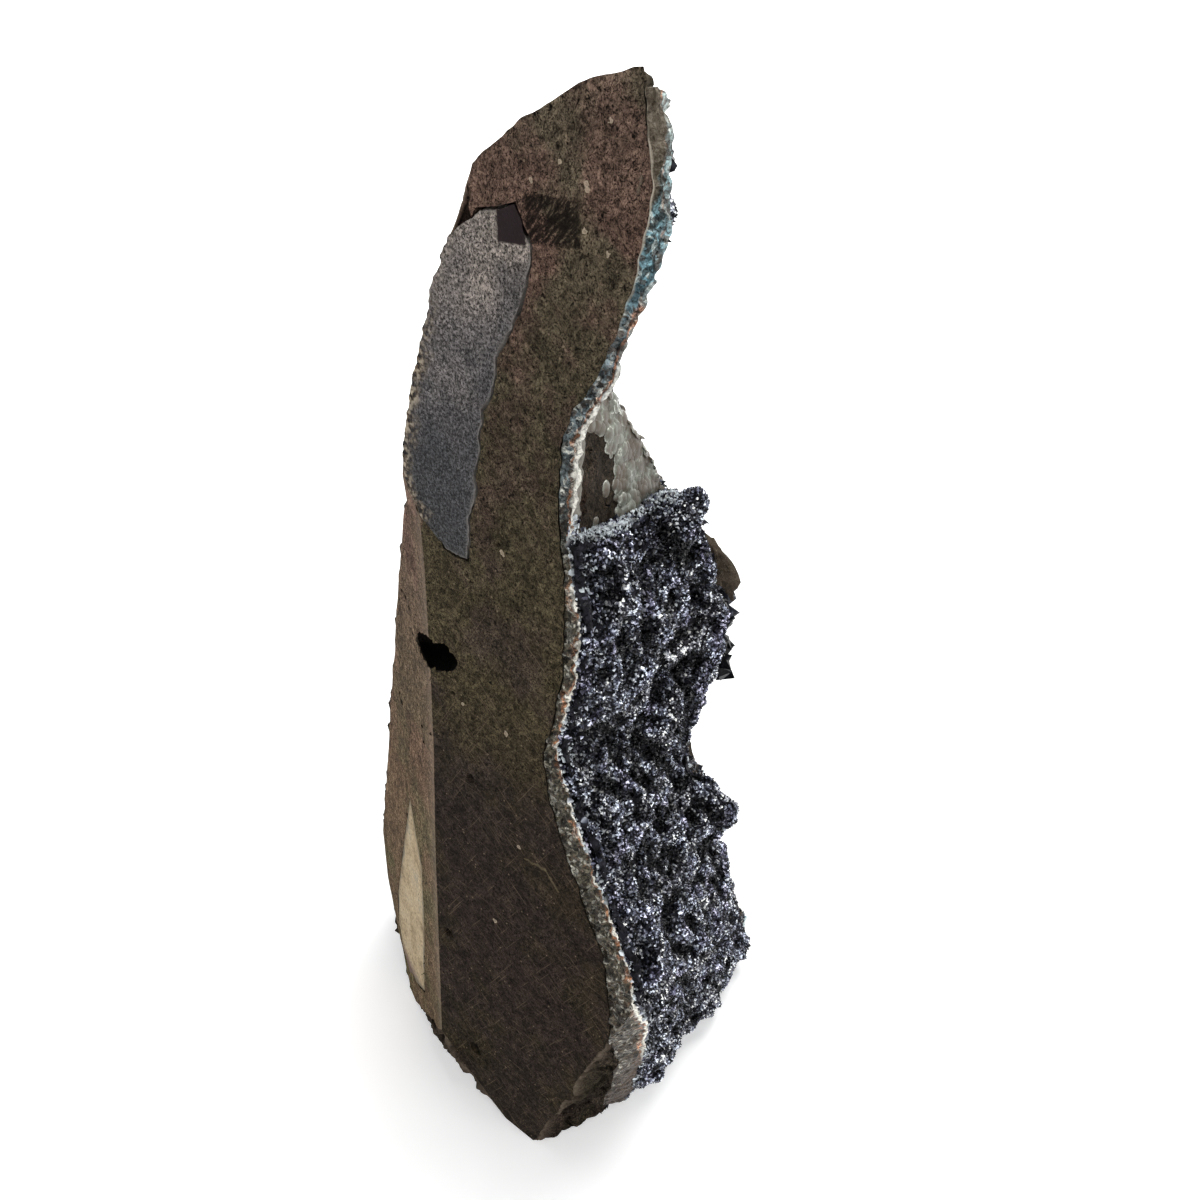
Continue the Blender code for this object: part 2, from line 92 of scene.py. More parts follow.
def unit(vectors):
    return vectors / np.maximum(np.linalg.norm(vectors, axis=-1, keepdims=True), 1e-9)


def face_normals(points, faces):
    a, b, c = (points[faces[:, k]] for k in range(3))
    return np.cross(b - a, c - a)


def corner_normals(points, faces):
    """Outward direction at each corner, from the faces round it."""
    total = np.zeros_like(points)
    across = face_normals(points, faces)
    for k in range(3):
        np.add.at(total, faces[:, k], across)
    return unit(total)


def near_to(*nodes):
    """A function that gives how far a place is from the surface of solids of the frame, in mm."""
    trees = []
    for node in nodes:
        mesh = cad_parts[node].data
        mesh.calc_loop_triangles()
        trees.append(BVHTree.FromPolygons([v.co * MM for v in mesh.vertices],
                                          [t.vertices for t in mesh.loop_triangles]))
    return lambda place: min(tree.find_nearest(place)[3] for tree in trees)


def each(distance, points):
    return np.array([distance(Vector(p)) for p in points])


def behind_front(place):
    """Distance from the plane of the sawn front, inward."""
    return FRONT_DISTANCE - place.dot(Vector(FRONT_OUT))


def fine_copy(node, edge_at, first=30.0, last=0.34, ratio=0.72):
    """Corners (mm) and triangles of a solid of the frame, divided until its edges are as short as
    edge_at asks for at their middle. The longest edges are divided first."""
    bm = bmesh.new()
    bm.from_mesh(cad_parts[node].data)
    bmesh.ops.scale(bm, vec=(MM, MM, MM), verts=bm.verts)
    bmesh.ops.remove_doubles(bm, verts=bm.verts, dist=0.002)
    bmesh.ops.triangulate(bm, faces=bm.faces[:])
    step = first
    while step > last:
        long_edges = []
        for edge in bm.edges:
            length = edge.calc_length()
            if length > step and edge_at(edge.verts[0].co.lerp(edge.verts[1].co, 0.5)) < length:
                long_edges.append(edge)
        if long_edges:
            bmesh.ops.subdivide_edges(bm, edges=long_edges, cuts=1)
            bmesh.ops.triangulate(bm, faces=[f for f in bm.faces if len(f.verts) > 3])
        step *= ratio
    points = np.array([v.co for v in bm.verts])
    bm.verts.index_update()
    faces = np.array([[v.index for v in f.verts] for f in bm.faces])
    bm.free()
    return points, faces


def smoothed(points, faces, where, rounds):
    """Each marked corner moves to the middle of its neighbours, several times."""
    pairs = np.vstack([faces[:, (0, 1)], faces[:, (1, 2)], faces[:, (2, 0)]])
    pairs = np.vstack([pairs, pairs[:, ::-1]])
    count = np.bincount(pairs[:, 0], minlength=len(points))[:, None]
    points = points.copy()
    for _ in range(rounds):
        total = np.zeros_like(points)
        np.add.at(total, pairs[:, 0], points[pairs[:, 1]])
        points[where] = (total / np.maximum(count, 1))[where]
    return points


def drift(points):
    """How far the borders of the layers stray along and up the sawn front, in mm."""
    along = 1.0 * waves(points, 8.0, 3.1) + 0.6 * waves(points, 2.8, 8.7)
    up = 0.7 * waves(points, 8.0, 21.4)
    return along[:, None] * FRONT_ALONG + up[:, None] * UP


def touches(faces, kind, count):
    """Corners with at least one face of a kind."""
    marked = np.zeros(count, bool)
    marked[faces[kind].ravel()] = True
    return marked


def stone_piece(name, points, faces, materials, slot, replaced=(), kinds=None, sharp=38.0,
                **values):
    """An object from corners in mm, kept inside the box of the solids. Kinds gives each face its
    material, and the values are stored on its corners for the materials."""
    inside = np.clip(points, np.array(cad_box[0]) * MM, np.array(cad_box[1]) * MM)
    mesh = bpy.data.meshes.new(name)
    mesh.from_pydata(inside / MM, [], faces.tolist() if isinstance(faces, np.ndarray) else faces)
    for material in materials:
        mesh.materials.append(material)
    if kinds is not None:
        mesh.polygons.foreach_set("material_index", kinds)
    for key, numbers in values.items():
        mesh.attributes.new(key, "FLOAT", "POINT").data.foreach_set("value", numbers)
    if sharp:
        mesh.shade_smooth()
        mesh.set_sharp_from_angle(angle=math.radians(sharp))
    mesh.update()
    stone = bpy.data.objects.new(name, mesh)
    bpy.context.scene.collection.objects.link(stone)
    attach(stone, "root")
    for node in replaced:
        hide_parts(node)


to_rind = near_to("chalcedony_rind")
to_agate = near_to("grey_agate_vein")


def basalt_edge(place):
    """Long edges where it is hidden or flat, short ones at borders, pits, breaks and bare rock."""
    if place.z < 0.01:
        return 6.0
    gap, rind, agate = behind_front(place), to_rind(place), to_agate(place)
    hole_near = (place - HOLE).length
    if gap < SAWN:
        along = place.dot(Vector(FRONT_ALONG))
        for pit_along, height, radius, _ in PITS:
            if math.hypot(along - pit_along, place.z - height) < radius + 0.6:
                return 0.4
        if hole_near < 13.0:
            return 0.7
        return 1.0 if min(rind, agate) < 3.0 else 3.0
    if rind < 0.6 or agate < 0.6:
        return 9.0
    if place.x > -8.0 and 195.0 < place.z < 245.0 and place.y < 0.29 * (245.0 - place.z):
        return 1.2      # bare wall of the hollow
    if hole_near < 14.0:
        return 0.7
    if place.y < 10.0 and place.z < BREAK_TOP:
        return 1.0
    return 2.4 if gap > 6.0 else 1.3    # the back, finer along the front


# What each face and each corner of the rock is
points, faces = fine_copy("basalt_host", basalt_edge)
outward = corner_normals(points, faces)
flat = unit(face_normals(points, faces))
middle = points[faces].mean(axis=1)
gap = FRONT_DISTANCE - points @ FRONT_OUT
rind_near, agate_near = each(to_rind, points), each(to_agate, points)
front = (np.abs(gap[faces]) < SAWN).all(axis=1)
side = (flat @ SIDE_OUT > 0.965) & ~front & (middle[:, 0] < 0)
foot = (points[faces][:, :, 2] < 0.01).all(axis=1)
hidden = (rind_near[faces] < 1.0).all(axis=1) | (agate_near[faces] < 1.0).all(axis=1)
bare = ((flat[:, 0] > 0.55) & (middle[:, 2] > 190) & (middle[:, 2] < 250) & ~front & ~hidden)
broken = ~(front | side | foot | hidden | bare)
at_front, at_side, at_foot, at_hidden, at_bare, rough = (
    touches(faces, kind, len(points)) for kind in (front, side, foot, hidden, bare, broken))
inner = rough & ~(at_front | at_side | at_foot | at_hidden)

# Ridges, cracks and a few deep creases of the breaks, coarser at the foot
points = smoothed(points, faces, inner, 4)
along, up = points @ FRONT_ALONG, points[:, 2]
ridge = 1.0 - 2.0 * np.abs(waves(points, 13.0, 5.3))
crack = 1.0 - 2.0 * np.abs(waves(points @ np.diag((0.5, 0.5, 1.3)) + ridge[:, None], 6.0, 7.3))
shift = (1.3 * ridge + 1.0 * crack + 0.8 * waves(points, 5.0, 9.1)
         + 0.5 * waves(points, 2.0, 1.7)) - 0.9
crease = np.exp(-(waves(points @ np.diag((0.7, 0.7, 1.3)), 9.0, 17.0) / 0.07) ** 2)
crease *= np.interp(up, (60, BREAK_TOP), (1.0, 0.0)) * inner
shift -= 1.6 * crease
in_hole = np.clip(1.4 - np.linalg.norm(points - np.array(HOLE), axis=1) / 11.0, 0.0, 1.0)
shift *= np.interp(up, (0, 40, 60), (1.6, 1.5, 1.0))
shift *= (1.0 - in_hole) * np.where(up > 190.0, np.clip(gap / 9.0, 0.3, 1.0), 1.0)
move = outward * (shift * rough)[:, None]
undulating = at_bare & ~at_front
move += outward * ((0.7 * waves(points, 9.0, 4.4) + 0.35 * waves(points, 3.5, 2.2))
                   * undulating)[:, None]

# Borders stray with those of the rind and the agate, and sawn faces stay flat
border = np.exp(-(np.minimum(rind_near, agate_near) / 4.0) ** 2)
move += drift(points) * border[:, None]
for sawn_corners, out in ((at_front, FRONT_OUT), (at_side, SIDE_OUT)):
    move[sawn_corners] -= (move[sawn_corners] @ out)[:, None] * out
move[at_foot, 2] = 0.0
move[(at_foot | at_side | at_front) & ~rough & (border < 0.01)] = 0.0
jagged = 2.6 * waves(points, 2.6, 4.1) + 1.2 * waves(points, 1.1, 8.2)
lip = (at_front | at_side) & rough & (in_hole > 0.35)
move += jagged[:, None] * lip[:, None] * (0.5 * FRONT_ALONG + 0.8 * UP)

# Pits, and painted shade, near black, where the rock is deep: in pits, creases, the notch and the
# hole
pit = np.zeros(len(points))
for pit_along, height, radius, depth in PITS:
    reach = np.hypot(along - pit_along, up - height) / radius
    reach *= 1.0 + 0.25 * waves(points, 1.3, 6.6)
    hollow = depth * np.sqrt(np.clip(1.0 - reach ** 2, 0.0, None))
    move -= FRONT_OUT * (hollow * at_front)[:, None]
    pit = np.maximum(pit, np.clip(1.5 - 1.4 * reach, 0.0, 1.0) * at_front)
# The agate laps over a narrow strip of the front up to its left edge, and ends above in a notch
strip = np.interp(up, (198, 207, 212, 219, 240, 257.5, 271.5), (4, 0, -3, -3, 4, 11.3, 19.5))
strip = np.clip((strip - along) / 1.5, 0.0, 1.0)
strip *= at_front & (up > 202.0) & (up < 271.0)
move -= FRONT_OUT * 0.8 * strip[:, None]
notch = np.clip((21.6 - along) / 1.5 + 0.6 * waves(points, 2.0, 3.0), 0.0, 1.0)
notch *= np.interp(up, (270, 271.5, 277.5, 279.5), (0.0, 1.0, 1.0, 0.0)) * at_front
move -= FRONT_OUT * 1.2 * notch[:, None]
deep = (in_hole > 0.0) & ~(at_front | at_side)
for share in (0.85 * notch, 0.85 * crease, np.clip(in_hole * 2.0, 0.0, 1.0) * deep):
    pit = np.maximum(pit, share)
edge = np.exp(-gap / 1.6) * ~at_front
points = points + move


def linear(code):
    """Linear colour of an sRGB hex value."""
    parts = [int(code[i:i + 2], 16) / 255 for i in (1, 3, 5)]
    return (*[c / 12.92 if c <= 0.04045 else ((c + 0.055) / 1.055) ** 2.4 for c in parts], 1.0)


def add_node(tree, kind, sockets=(), out=0, stops=(), **settings):
    """Add a shader node and give one of its outputs. A socket takes a value, an sRGB hex colour
    or another node's output. A dict names or numbers the sockets, and a tuple fills them in the
    node's own order: value, from min, from max, to min, to max for a MapRange."""
    node = tree.nodes.new("ShaderNode" + kind)
    for name, value in settings.items():
        setattr(node, name, value)
    named = sockets if isinstance(sockets, dict) else dict(enumerate(sockets))
    for name, value in named.items():
        if isinstance(value, bpy.types.NodeSocket):
            tree.links.new(value, node.inputs[name])
        else:
            node.inputs[name].default_value = linear(value) if isinstance(value, str) else value
    if stops:
        ramp = node.color_ramp.elements
        while len(ramp) < len(stops):
            ramp.new(1.0)
        for element, (place, colour) in zip(ramp, stops):
            element.position = place
            element.color = linear(colour) if isinstance(colour, str) else (*[colour] * 3, 1.0)
    return node.outputs[out] if len(node.outputs) else node


OVER = {"data_type": "RGBA"}                            # a Mix that lays a colour over another
TIMES = {"data_type": "RGBA", "blend_type": "MULTIPLY"}     # a Mix that shades a colour


def new_material(name):
    """An empty material, the function that adds nodes to it, and the place on the stone in mm."""
    material = bpy.data.materials.new(name)
    material.use_nodes = True
    material.node_tree.nodes.clear()
    add = partial(add_node, material.node_tree)
    place = add("TexCoord", out="Object")
    return material, add, add("VectorMath", (place, (MM, MM, MM)), operation="MULTIPLY")


def surface(add, colour, roughness, index, gloss, relief=None, depth=0.0, strength=1.0):
    """End a material: its colour, roughness, index of refraction and gloss, and the depth in mm
    of the bumps that a relief gives it."""
    looks = {"Base Color": colour, "Roughness": roughness, "IOR": index,
             "Specular IOR Level": gloss}
    if relief is not None:
        looks["Normal"] = add("Bump", {"Height": relief, "Distance": depth / MM,
                                       "Strength": strength})
    add("OutputMaterial", {"Surface": add("BsdfPrincipled", looks)})


def patch_reach(add, spot, middle, half):
    """0 in the middle of an upright oblong patch of the sawn front, 1 on its border."""
    away = add("VectorMath", (spot, (middle[0], 0.0, middle[1])), operation="SUBTRACT")
    away = add("VectorMath", (away,), operation="ABSOLUTE")
    away = add("VectorMath", (away, (1 / half[0], 0.0, 1 / half[1])), operation="MULTIPLY")
    wide, tall = (add("SeparateXYZ", (away,), axis) for axis in "XZ")
    return add("Math", (wide, tall), operation="MAXIMUM")


def front_marks(add, mm, height, base):
    """Marks of the sawn front: saw scratches in three directions, drawn 0.35 mm wide to show,
    bubbles, a thin crack, and one dark scuffed patch beside the agate."""
    for angle, sparse in ((0.72, 0.66), (-0.95, 0.68), (0.1, 0.69)):
        turned = add("VectorRotate", {"Vector": mm, "Axis": FRONT_OUT, "Angle": angle})
        drawn = add("VectorMath", (turned, (1 / 14, 1 / 14, 1 / 0.35)), operation="MULTIPLY")
        saw = add("TexNoise", {"Vector": drawn, "Scale": 1.0, "Detail": 1.0})
        line = add("ValToRGB", (saw,), stops=[(sparse, 0.0), (sparse + 0.06, 0.35)])
        base = add("Mix", {0: line, 6: base, 7: "#6a5b4b"}, 2, **OVER)
    along = add("VectorMath", (mm, FRONT_ALONG), "Value", operation="DOT_PRODUCT")
    spot = add("CombineXYZ", {0: along, 2: height})
    bent = add("TexNoise", {"Vector": mm, "Scale": 1 / 1.2}, "Color")
    bend = add("VectorMath", (bent, (0.5, 0.5, 0.5)), operation="SUBTRACT")
    spot = add("VectorMath", (bend, (1.6, 0.0, 1.6), spot), operation="MULTIPLY_ADD")
    nearest = 1.0
    for bubble_along, bubble_height, radius in BUBBLES:
        far = add("VectorMath", (spot, (bubble_along, 0.0, bubble_height)), "Value",
                  operation="DISTANCE")
        rim = add("Math", (far, 0.45 * radius), operation="SUBTRACT")
        nearest = add("Math", (rim, nearest), operation="MINIMUM")
    filled = add("ValToRGB", (nearest,), stops=[(0.0, 0.4), (0.12, 0.75), (0.28, 0.0)])
    base = add("Mix", {0: filled, 6: base, 7: "#b0a18c"}, 2, **OVER)
    for start, run in zip(CRACK, np.diff(CRACK, axis=0)):
        away = add("VectorMath", (spot, start), operation="SUBTRACT")
        part = add("VectorMath", (away, run / (run @ run)), "Value", operation="DOT_PRODUCT")
        part = add("Clamp", (part,))
        back = add("VectorMath", {0: -run, "Scale": part}, operation="SCALE")
        far = add("VectorMath", (away, back), operation="ADD")
        far = add("VectorMath", (far,), "Value", operation="LENGTH")
        line = add("MapRange", (far, 0.5, 0.15, 0.0, 0.5))
        base = add("Mix", {0: line, 6: base, 7: "#645a45"}, 2, **OVER)
    worn = add("MapRange", (patch_reach(add, spot, (42.6, 274.6), (6.9, 4.4)), 1.05, 0.88))
    turned = add("VectorRotate", {"Vector": mm, "Axis": FRONT_OUT, "Angle": -0.75})
    drawn = add("VectorMath", (turned, (1 / 2.6, 1 / 2.6, 1 / 0.55)), operation="MULTIPLY")
    rub = add("TexNoise", {"Vector": drawn, "Scale": 1.0, "Detail": 3.0, "Distortion": 0.5})
    dark = add("ValToRGB", (rub,), stops=[(0.46, 0.93), (0.56, 0.7), (0.64, 0.1)])
    worn = add("Math", (worn, dark), operation="MULTIPLY")
    return add("Mix", {0: worn, 6: base, 7: "#0f0b09"}, 2, **OVER)


def basalt_surface(name, browns, olives, roughness, grain_bump, sawn=None):
    """Dense basalt, with no shine: patches of brown and olive groundmass that change up the stone,
    felted with dark and pale grains. Most real grains are finer than the 0.65 mm drawn here to
    show. Painted shade, near black, in pits, creases, the notch and the hole, and paler along
    chipped edges."""
    material, add, mm = new_material(name)
    height = add("SeparateXYZ", (mm,), "Z")
    up = add("MapRange", (height, 0.0, 300.0))
    brown, olive = (add("ValToRGB", (up,), stops=stops) for stops in (browns, olives))
    cloud = add("TexNoise", {"Vector": mm, "Scale": 1 / 26, "Detail": 7.0, "Roughness": 0.62})
    bias = add("ValToRGB", (up,), stops=[(0.35, 0.46), (0.5, 0.56), (0.72, 0.56), (0.88, 0.49)])
    level = add("Math", (cloud, bias), operation="ADD")
    share = add("MapRange", (level, 0.97, 1.06))
    base = add("Mix", {0: share, 6: brown, 7: olive}, 2, **OVER)
    tone, grains = 1.0, []
    for size, least, most, bend in ((0.65, 0.0, 2.2, 1.5), (1.7, 0.5, 1.5, 1.0),
                                    (7.0, 0.75, 1.25, 0.0)):
        grains.append(add("TexNoise", {"Vector": mm, "Scale": 1 / size, "Roughness": 0.6,
                                       "Distortion": bend}))
        shade = add("MapRange", (grains[-1], 0.34, 0.66, least, most))
        tone = add("Math", (shade, tone), operation="MULTIPLY")
    if sawn == "side":
        drawn = add("VectorMath", (mm, (0.55, 0.55, 0.055)), operation="MULTIPLY")
        streak = add("TexNoise", {"Vector": drawn, "Scale": 1.0, "Detail": 3.0,
                                  "Distortion": 0.6})
        shade = add("MapRange", (streak, 0.3, 0.7, 0.72, 1.3))
        tone = add("Math", (shade, tone), operation="MULTIPLY")
    base = add("Mix", {0: 1.0, 6: base, 7: tone}, 2, **TIMES)
    fleck = add("TexVoronoi", {"Vector": mm, "Scale": 1 / 3.2})
    fleck = add("ValToRGB", (fleck,), stops=[(0.06, 0.6), (0.1, 0.0)])
    base = add("Mix", {0: fleck, 6: base, 7: "#7a6a58"}, 2, **OVER)
    if sawn == "front":
        base = front_marks(add, mm, height, base)
    # Painted shade: near black in the pits, creases, notch and hole, where the rock is deep
    chipped, pitted = (add("Attribute", attribute_name=key, out="Fac") for key in ("edge", "pit"))
    chipped = add("Math", (chipped, 0.55), operation="MULTIPLY")
    for share, colour in ((chipped, "#7d7062"), (pitted, "#060504")):
        base = add("Mix", {0: share, 6: base, 7: colour}, 2, **OVER)
    relief = add("Math", (grains[0], grains[1]), operation="ADD")
    surface(add, base, roughness, 1.5, 0.02, relief, grain_bump)
    return material


# Sawn and left as it was: near black brown and matte, paler towards the top
sawn_front = basalt_surface("basalt_sawn_dark", [
    (0.0, "#251f1a"), (0.25, "#241d19"), (0.4, "#231d19"), (0.6, "#322b24"), (0.8, "#3b3029"),
    (0.9, "#4c3c34"), (1.0, "#4c3e36")], [
    (0.0, "#262117"), (0.4, "#251f18"), (0.55, "#352f22"), (0.8, "#353025"), (1.0, "#484035")],
    0.72, 0.25, "front")
# Sawn side: a paler, streaky brown than the front
sawn_side = basalt_surface("basalt_sawn_side_pale", [
    (0.0, "#504232"), (0.3, "#564636"), (0.6, "#554239"), (1.0, "#524039")], [
    (0.0, "#47412c"), (0.3, "#4f4633"), (0.6, "#534539"), (1.0, "#4f4138")], 0.8, 0.25, "side")
# Broken, not sawn: the deepest relief and the least shine
broken_rock = basalt_surface("basalt_broken", [
    (0.0, "#2c2520"), (0.6, "#312b25"), (1.0, "#3c312a")], [
    (0.0, "#28241c"), (0.6, "#302b24"), (1.0, "#39342a")], 0.85, 0.7)
# Wall of the gas hollow, smooth where its lining fell off: dark, a little less matte
bare_wall = basalt_surface("basalt_hollow_wall", [
    (0.0, "#251d19"), (1.0, "#2b221c")], [(0.0, "#231e19"), (1.0, "#302a23")], 0.5, 0.4)
stone_piece("basalt", points, faces, [sawn_front, sawn_side, broken_rock, bare_wall], "basalt",
            ["basalt_host"], np.select([front, side, bare], [0, 1, 3], 2), pit=pit, edge=edge)

# The broken rock of the rear rim, near the crusts, carries quartz points too
near_rim = broken & (gap[faces].min(axis=1) > 16.0) & (middle[:, 2] < 205.0)
rim_corners = np.unique(faces[near_rim])
to_crust = near_to("amethyst_crust", "upper_amethyst_crust")
crust_near = np.full(len(points), 99.0)
crust_near[rim_corners] = each(to_crust, points[rim_corners])
near_rim &= (crust_near[faces] < 7.0).any(axis=1)
rear_ground = [(points, faces[near_rim])]

# Botryoidal chalcedony: waxy grey-green domes, 2 to 5 mm wide, that cover part of the bare wall in
# scalloped patches about 0.5 mm thick. Their rims are paler than their middles, and painted shade,
# near black, lies at their feet in the gaps between them.
DOME_SIDES = 12
DOME_RINGS = (0.93, 0.72, 0.38, -0.25)      # heights of the rings of corners of a dome 1 high


def scatter(points, faces, spacing, tries, chance):
    """Places spread over triangles, none nearer to another than a spacing, and their faces."""
    size = np.linalg.norm(face_normals(points, faces), axis=1)
    picks = chance.choice(len(faces), tries, p=size / size.sum())
    a, b = chance.random((2, tries))
    flip = a + b > 1
    a[flip], b[flip] = 1 - a[flip], 1 - b[flip]
    corner = points[faces[picks]]
    spots = corner[:, 0] + a[:, None] * (corner[:, 1] - corner[:, 0]) \
        + b[:, None] * (corner[:, 2] - corner[:, 0])
    taken, kept = {}, []
    reach = spacing * spacing
    steps = [(i, j, k) for i in (-1, 0, 1) for j in (-1, 0, 1) for k in (-1, 0, 1)]
    for number, spot in enumerate(spots):
        cell = tuple((spot // spacing).astype(int))
        near = (taken.get((cell[0] + i, cell[1] + j, cell[2] + k)) for i, j, k in steps)
        if all(other is None or ((other - spot) ** 2).sum() > reach for other in near):
            taken[cell] = spot
            kept.append(number)
    return spots[kept], picks[kept]


def across_and_along(axes, chance):
    """Two directions square to each axis, turned at random."""
    first = unit(np.cross(axes, chance.normal(size=axes.shape)))
    return first, np.cross(axes, first)


def domes(places, axes, widths, rise, chance):
    """Closed round domes in one mesh: corners, faces, and how high each corner is on its dome."""
    first, second = across_and_along(axes, chance)
    corners, crown = [places + axes * (widths * rise)[:, None]], [np.ones(len(places))]
    for lift in DOME_RINGS:
        wide = widths * math.sqrt(1.0 - lift * lift)
        for angle in np.arange(DOME_SIDES) * math.tau / DOME_SIDES:
            bulge = wide * chance.uniform(0.94, 1.06, len(places))
            corners.append(places + first * (bulge * math.cos(angle))[:, None]
                           + second * (bulge * math.sin(angle))[:, None]
                           + axes * (widths * rise * lift)[:, None])
            crown.append(np.full(len(places), max(lift, 0.0)))
    count, shapes = len(corners), []
    for top in range(0, len(places) * count, count):
        for k in range(DOME_SIDES):
            n = (k + 1) % DOME_SIDES
            shapes.append((top, top + 1 + k, top + 1 + n))
            for ring in range(len(DOME_RINGS) - 1):
                high = top + 1 + ring * DOME_SIDES
                low = high + DOME_SIDES
                shapes.append((high + k, low + k, low + n, high + n))
        shapes.append(tuple(reversed(range(top + count - DOME_SIDES, top + count))))
    return (np.stack(corners, axis=1).reshape(-1, 3), shapes,
            np.stack(crown, axis=1).reshape(-1))


chance = np.random.default_rng(21)
outward = corner_normals(points, faces)
spots, picks = scatter(points, faces[bare], 1.35, 16000, chance)
axes = outward[faces[bare][picks]].mean(axis=1)
# A bare place is left in the middle of the wall, up to 222 mm
from_front = FRONT_DISTANCE - spots @ FRONT_OUT
share = from_front / np.interp(spots[:, 2], (200, 215, 230, 246), (56.0, 50.7, 39.3, 30.0))
cover = 0.6 * waves(spots, 9.0, 40.0) + 0.35 * waves(spots, 4.0, 11.0)
cover += np.interp(share, (0.0, 0.2, 0.3, 0.58, 0.72, 1.0), (0.2, -0.2, -0.9, -0.8, 0.2, 0.5))
cover += np.interp(spots[:, 2], (222, 233), (0.0, 1.1))
kept = (cover > 0.0) | (chance.random(len(spots)) < 0.02)
widths = chance.uniform(1.0, 2.3, kept.sum())
corners, shapes, crown = domes(spots[kept], axes[kept], widths, 0.34, chance)

# Chalcedony grown in the open hollow: waxy, with soft highlights, and brown where iron stains it
botryoidal, add, mm = new_material("chalcedony_botryoidal_waxy")
crown_at = add("Attribute", attribute_name="crown", out="Fac")
cloud = add("TexNoise", {"Vector": mm, "Scale": 1 / 1.6, "Detail": 4.0, "Roughness": 0.7})
sway = add("MapRange", (cloud, 0.3, 0.7, -0.4, 0.4))
level = add("Math", (crown_at, sway), operation="ADD")
# Near black at the foot of each dome: painted shade in the gaps between the domes
colour = add("ValToRGB", (level,), stops=[
    (0.0, "#171511"), (0.14, "#b9bbae"), (0.24, "#ecede4"), (0.4, "#9a9d92"), (0.7, "#6f7369"),
    (1.0, "#57554b")])
patch = add("TexNoise", {"Vector": mm, "Scale": 1 / 6, "Detail": 3.0})
brownish = add("ValToRGB", (patch,), stops=[(0.44, 0.0), (0.54, 0.8)])
front_near = add("VectorMath", (mm, FRONT_OUT), "Value", operation="DOT_PRODUCT")
bluish = add("MapRange", (front_near, 36.0, 41.0, 0.0, 0.6))
for share, stain in ((brownish, "#4e4237"), (bluish, "#4b6069")):
    colour = add("Mix", {0: share, 6: colour, 7: stain}, 2, **OVER)
surface(add, colour, 0.3, 1.54, 0.3, cloud, 0.3, 0.5)
stone_piece("chalcedony_domes", corners, shapes, [botryoidal], "chalcedony", crown=crown,
            sharp=60)

# Chalcedony rind: the first lining of the hollow, 2 to 9 mm of blue-grey chalcedony with a rusty
# band and a thin white edge where the quartz began. Waxy, and rough where the saw tore it.


def cells(add, mm, size, channel):
    """A number from 0 to 1 for each of many small cells of a size in mm."""
    colour = add("TexVoronoi", {"Vector": mm, "Scale": 1 / size}, "Color")
    return add("SeparateXYZ", (colour,), channel)


def rind_edge(place):
    if behind_front(place) < 2.5:
        return 0.65
    return 0.9 if place.z > 205.0 or place.z < BREAK_TOP and place.y < -40.0 else 2.0


to_basalt = near_to("basalt_host")
points, faces = fine_copy("chalcedony_rind", rind_edge)
low, high = each(to_basalt, points), each(to_crust, points)
gap, up = FRONT_DISTANCE - points @ FRONT_OUT, points[:, 2]
# How far each corner is through the rind, from 0 at the basalt to 1 at the quartz
thick = np.interp(up, (0, 120, 145, 156, 190, 207, 217, 300), (9, 9.5, 8, 4.2, 5.2, 2.6, 4.7, 4.7))
across = np.clip(low / np.maximum(thick, 0.1), 0, 1)
near_quartz = np.interp(high, (0.0, 0.9, 1.4, 2.6, 6.0), (1.0, 0.78, 0.64, 0.45, 0.2))
by_quartz = np.interp(up, (198, 206), (1.0, 0.0))
across = by_quartz * near_quartz + (1.0 - by_quartz) * across
# Where it is chipped at the top, broken at the rear, or turned in to the hollow
chip = np.interp(up, (278, 282, 287, 292, 300), (0.0, 1.2, 2.6, 3.4, 5.0))
chip = np.clip(1.3 * (chip - low) + 0.5, 0.0, 1.0) * (up > 271.0) * (gap < 3.0)
rear_share = np.clip((gap - 14.0) / 6.0, 0.0, 1.0) * np.interp(up, (190, 196), (1, 0))
turned = np.clip((gap - 0.9) / 1.4, 0.0, 1.0) \
    * np.interp(up, (200, 207, 256, 262), (0.0, 1.0, 1.0, 0.0))
# The saw tore it back from the plane of the front, and its open face is lumpy
at_front = gap < SAWN
loose = (low > 0.6) & (high > 0.6) & ~at_front
torn = np.clip(0.6 + 1.2 * waves(points, 2.4, 12.0) + 0.9 * waves(points, 1.1, 5.0), 0.0, 2.2)
move = drift(points)
move -= FRONT_OUT * (torn * at_front * np.clip(across * 6, 0, 1))[:, None]
rough = 0.35 * waves(points, 3.0, 2.0) + 0.35 * waves(points, 1.4, 6.0) - 0.2
move += corner_normals(points, faces) * (rough * loose)[:, None]
points = points + move

# Chalcedony sawn across its bands and left unpolished: waxy, speckled with torn crumbs
rind_stone, add, mm = new_material("chalcedony_banded_waxy")
height = add("SeparateXYZ", (mm,), "Z")
up = add("MapRange", (height, 0.0, 300.0))
layer, inward, chipped, rear = (add("Attribute", attribute_name=key, out="Fac")
                                for key in ("across", "turned", "chip", "rear"))
wobble = add("TexNoise", {"Vector": mm, "Scale": 1 / 3.0, "Detail": 4.0})
sway = add("MapRange", (wobble, 0.3, 0.7, -0.16, 0.16))
depth = add("Math", (layer, sway), operation="ADD")
bands = add("ValToRGB", (up,), stops=[
    (0.0, "#2a241e"), (0.14, "#3f372d"), (0.4, "#474338"), (0.68, "#454238"), (0.74, "#474d4d"),
    (0.8, "#50595c"), (0.86, "#545f63"), (0.885, "#54717a"), (0.94, "#6a868c"),
    (0.97, "#73807f")])
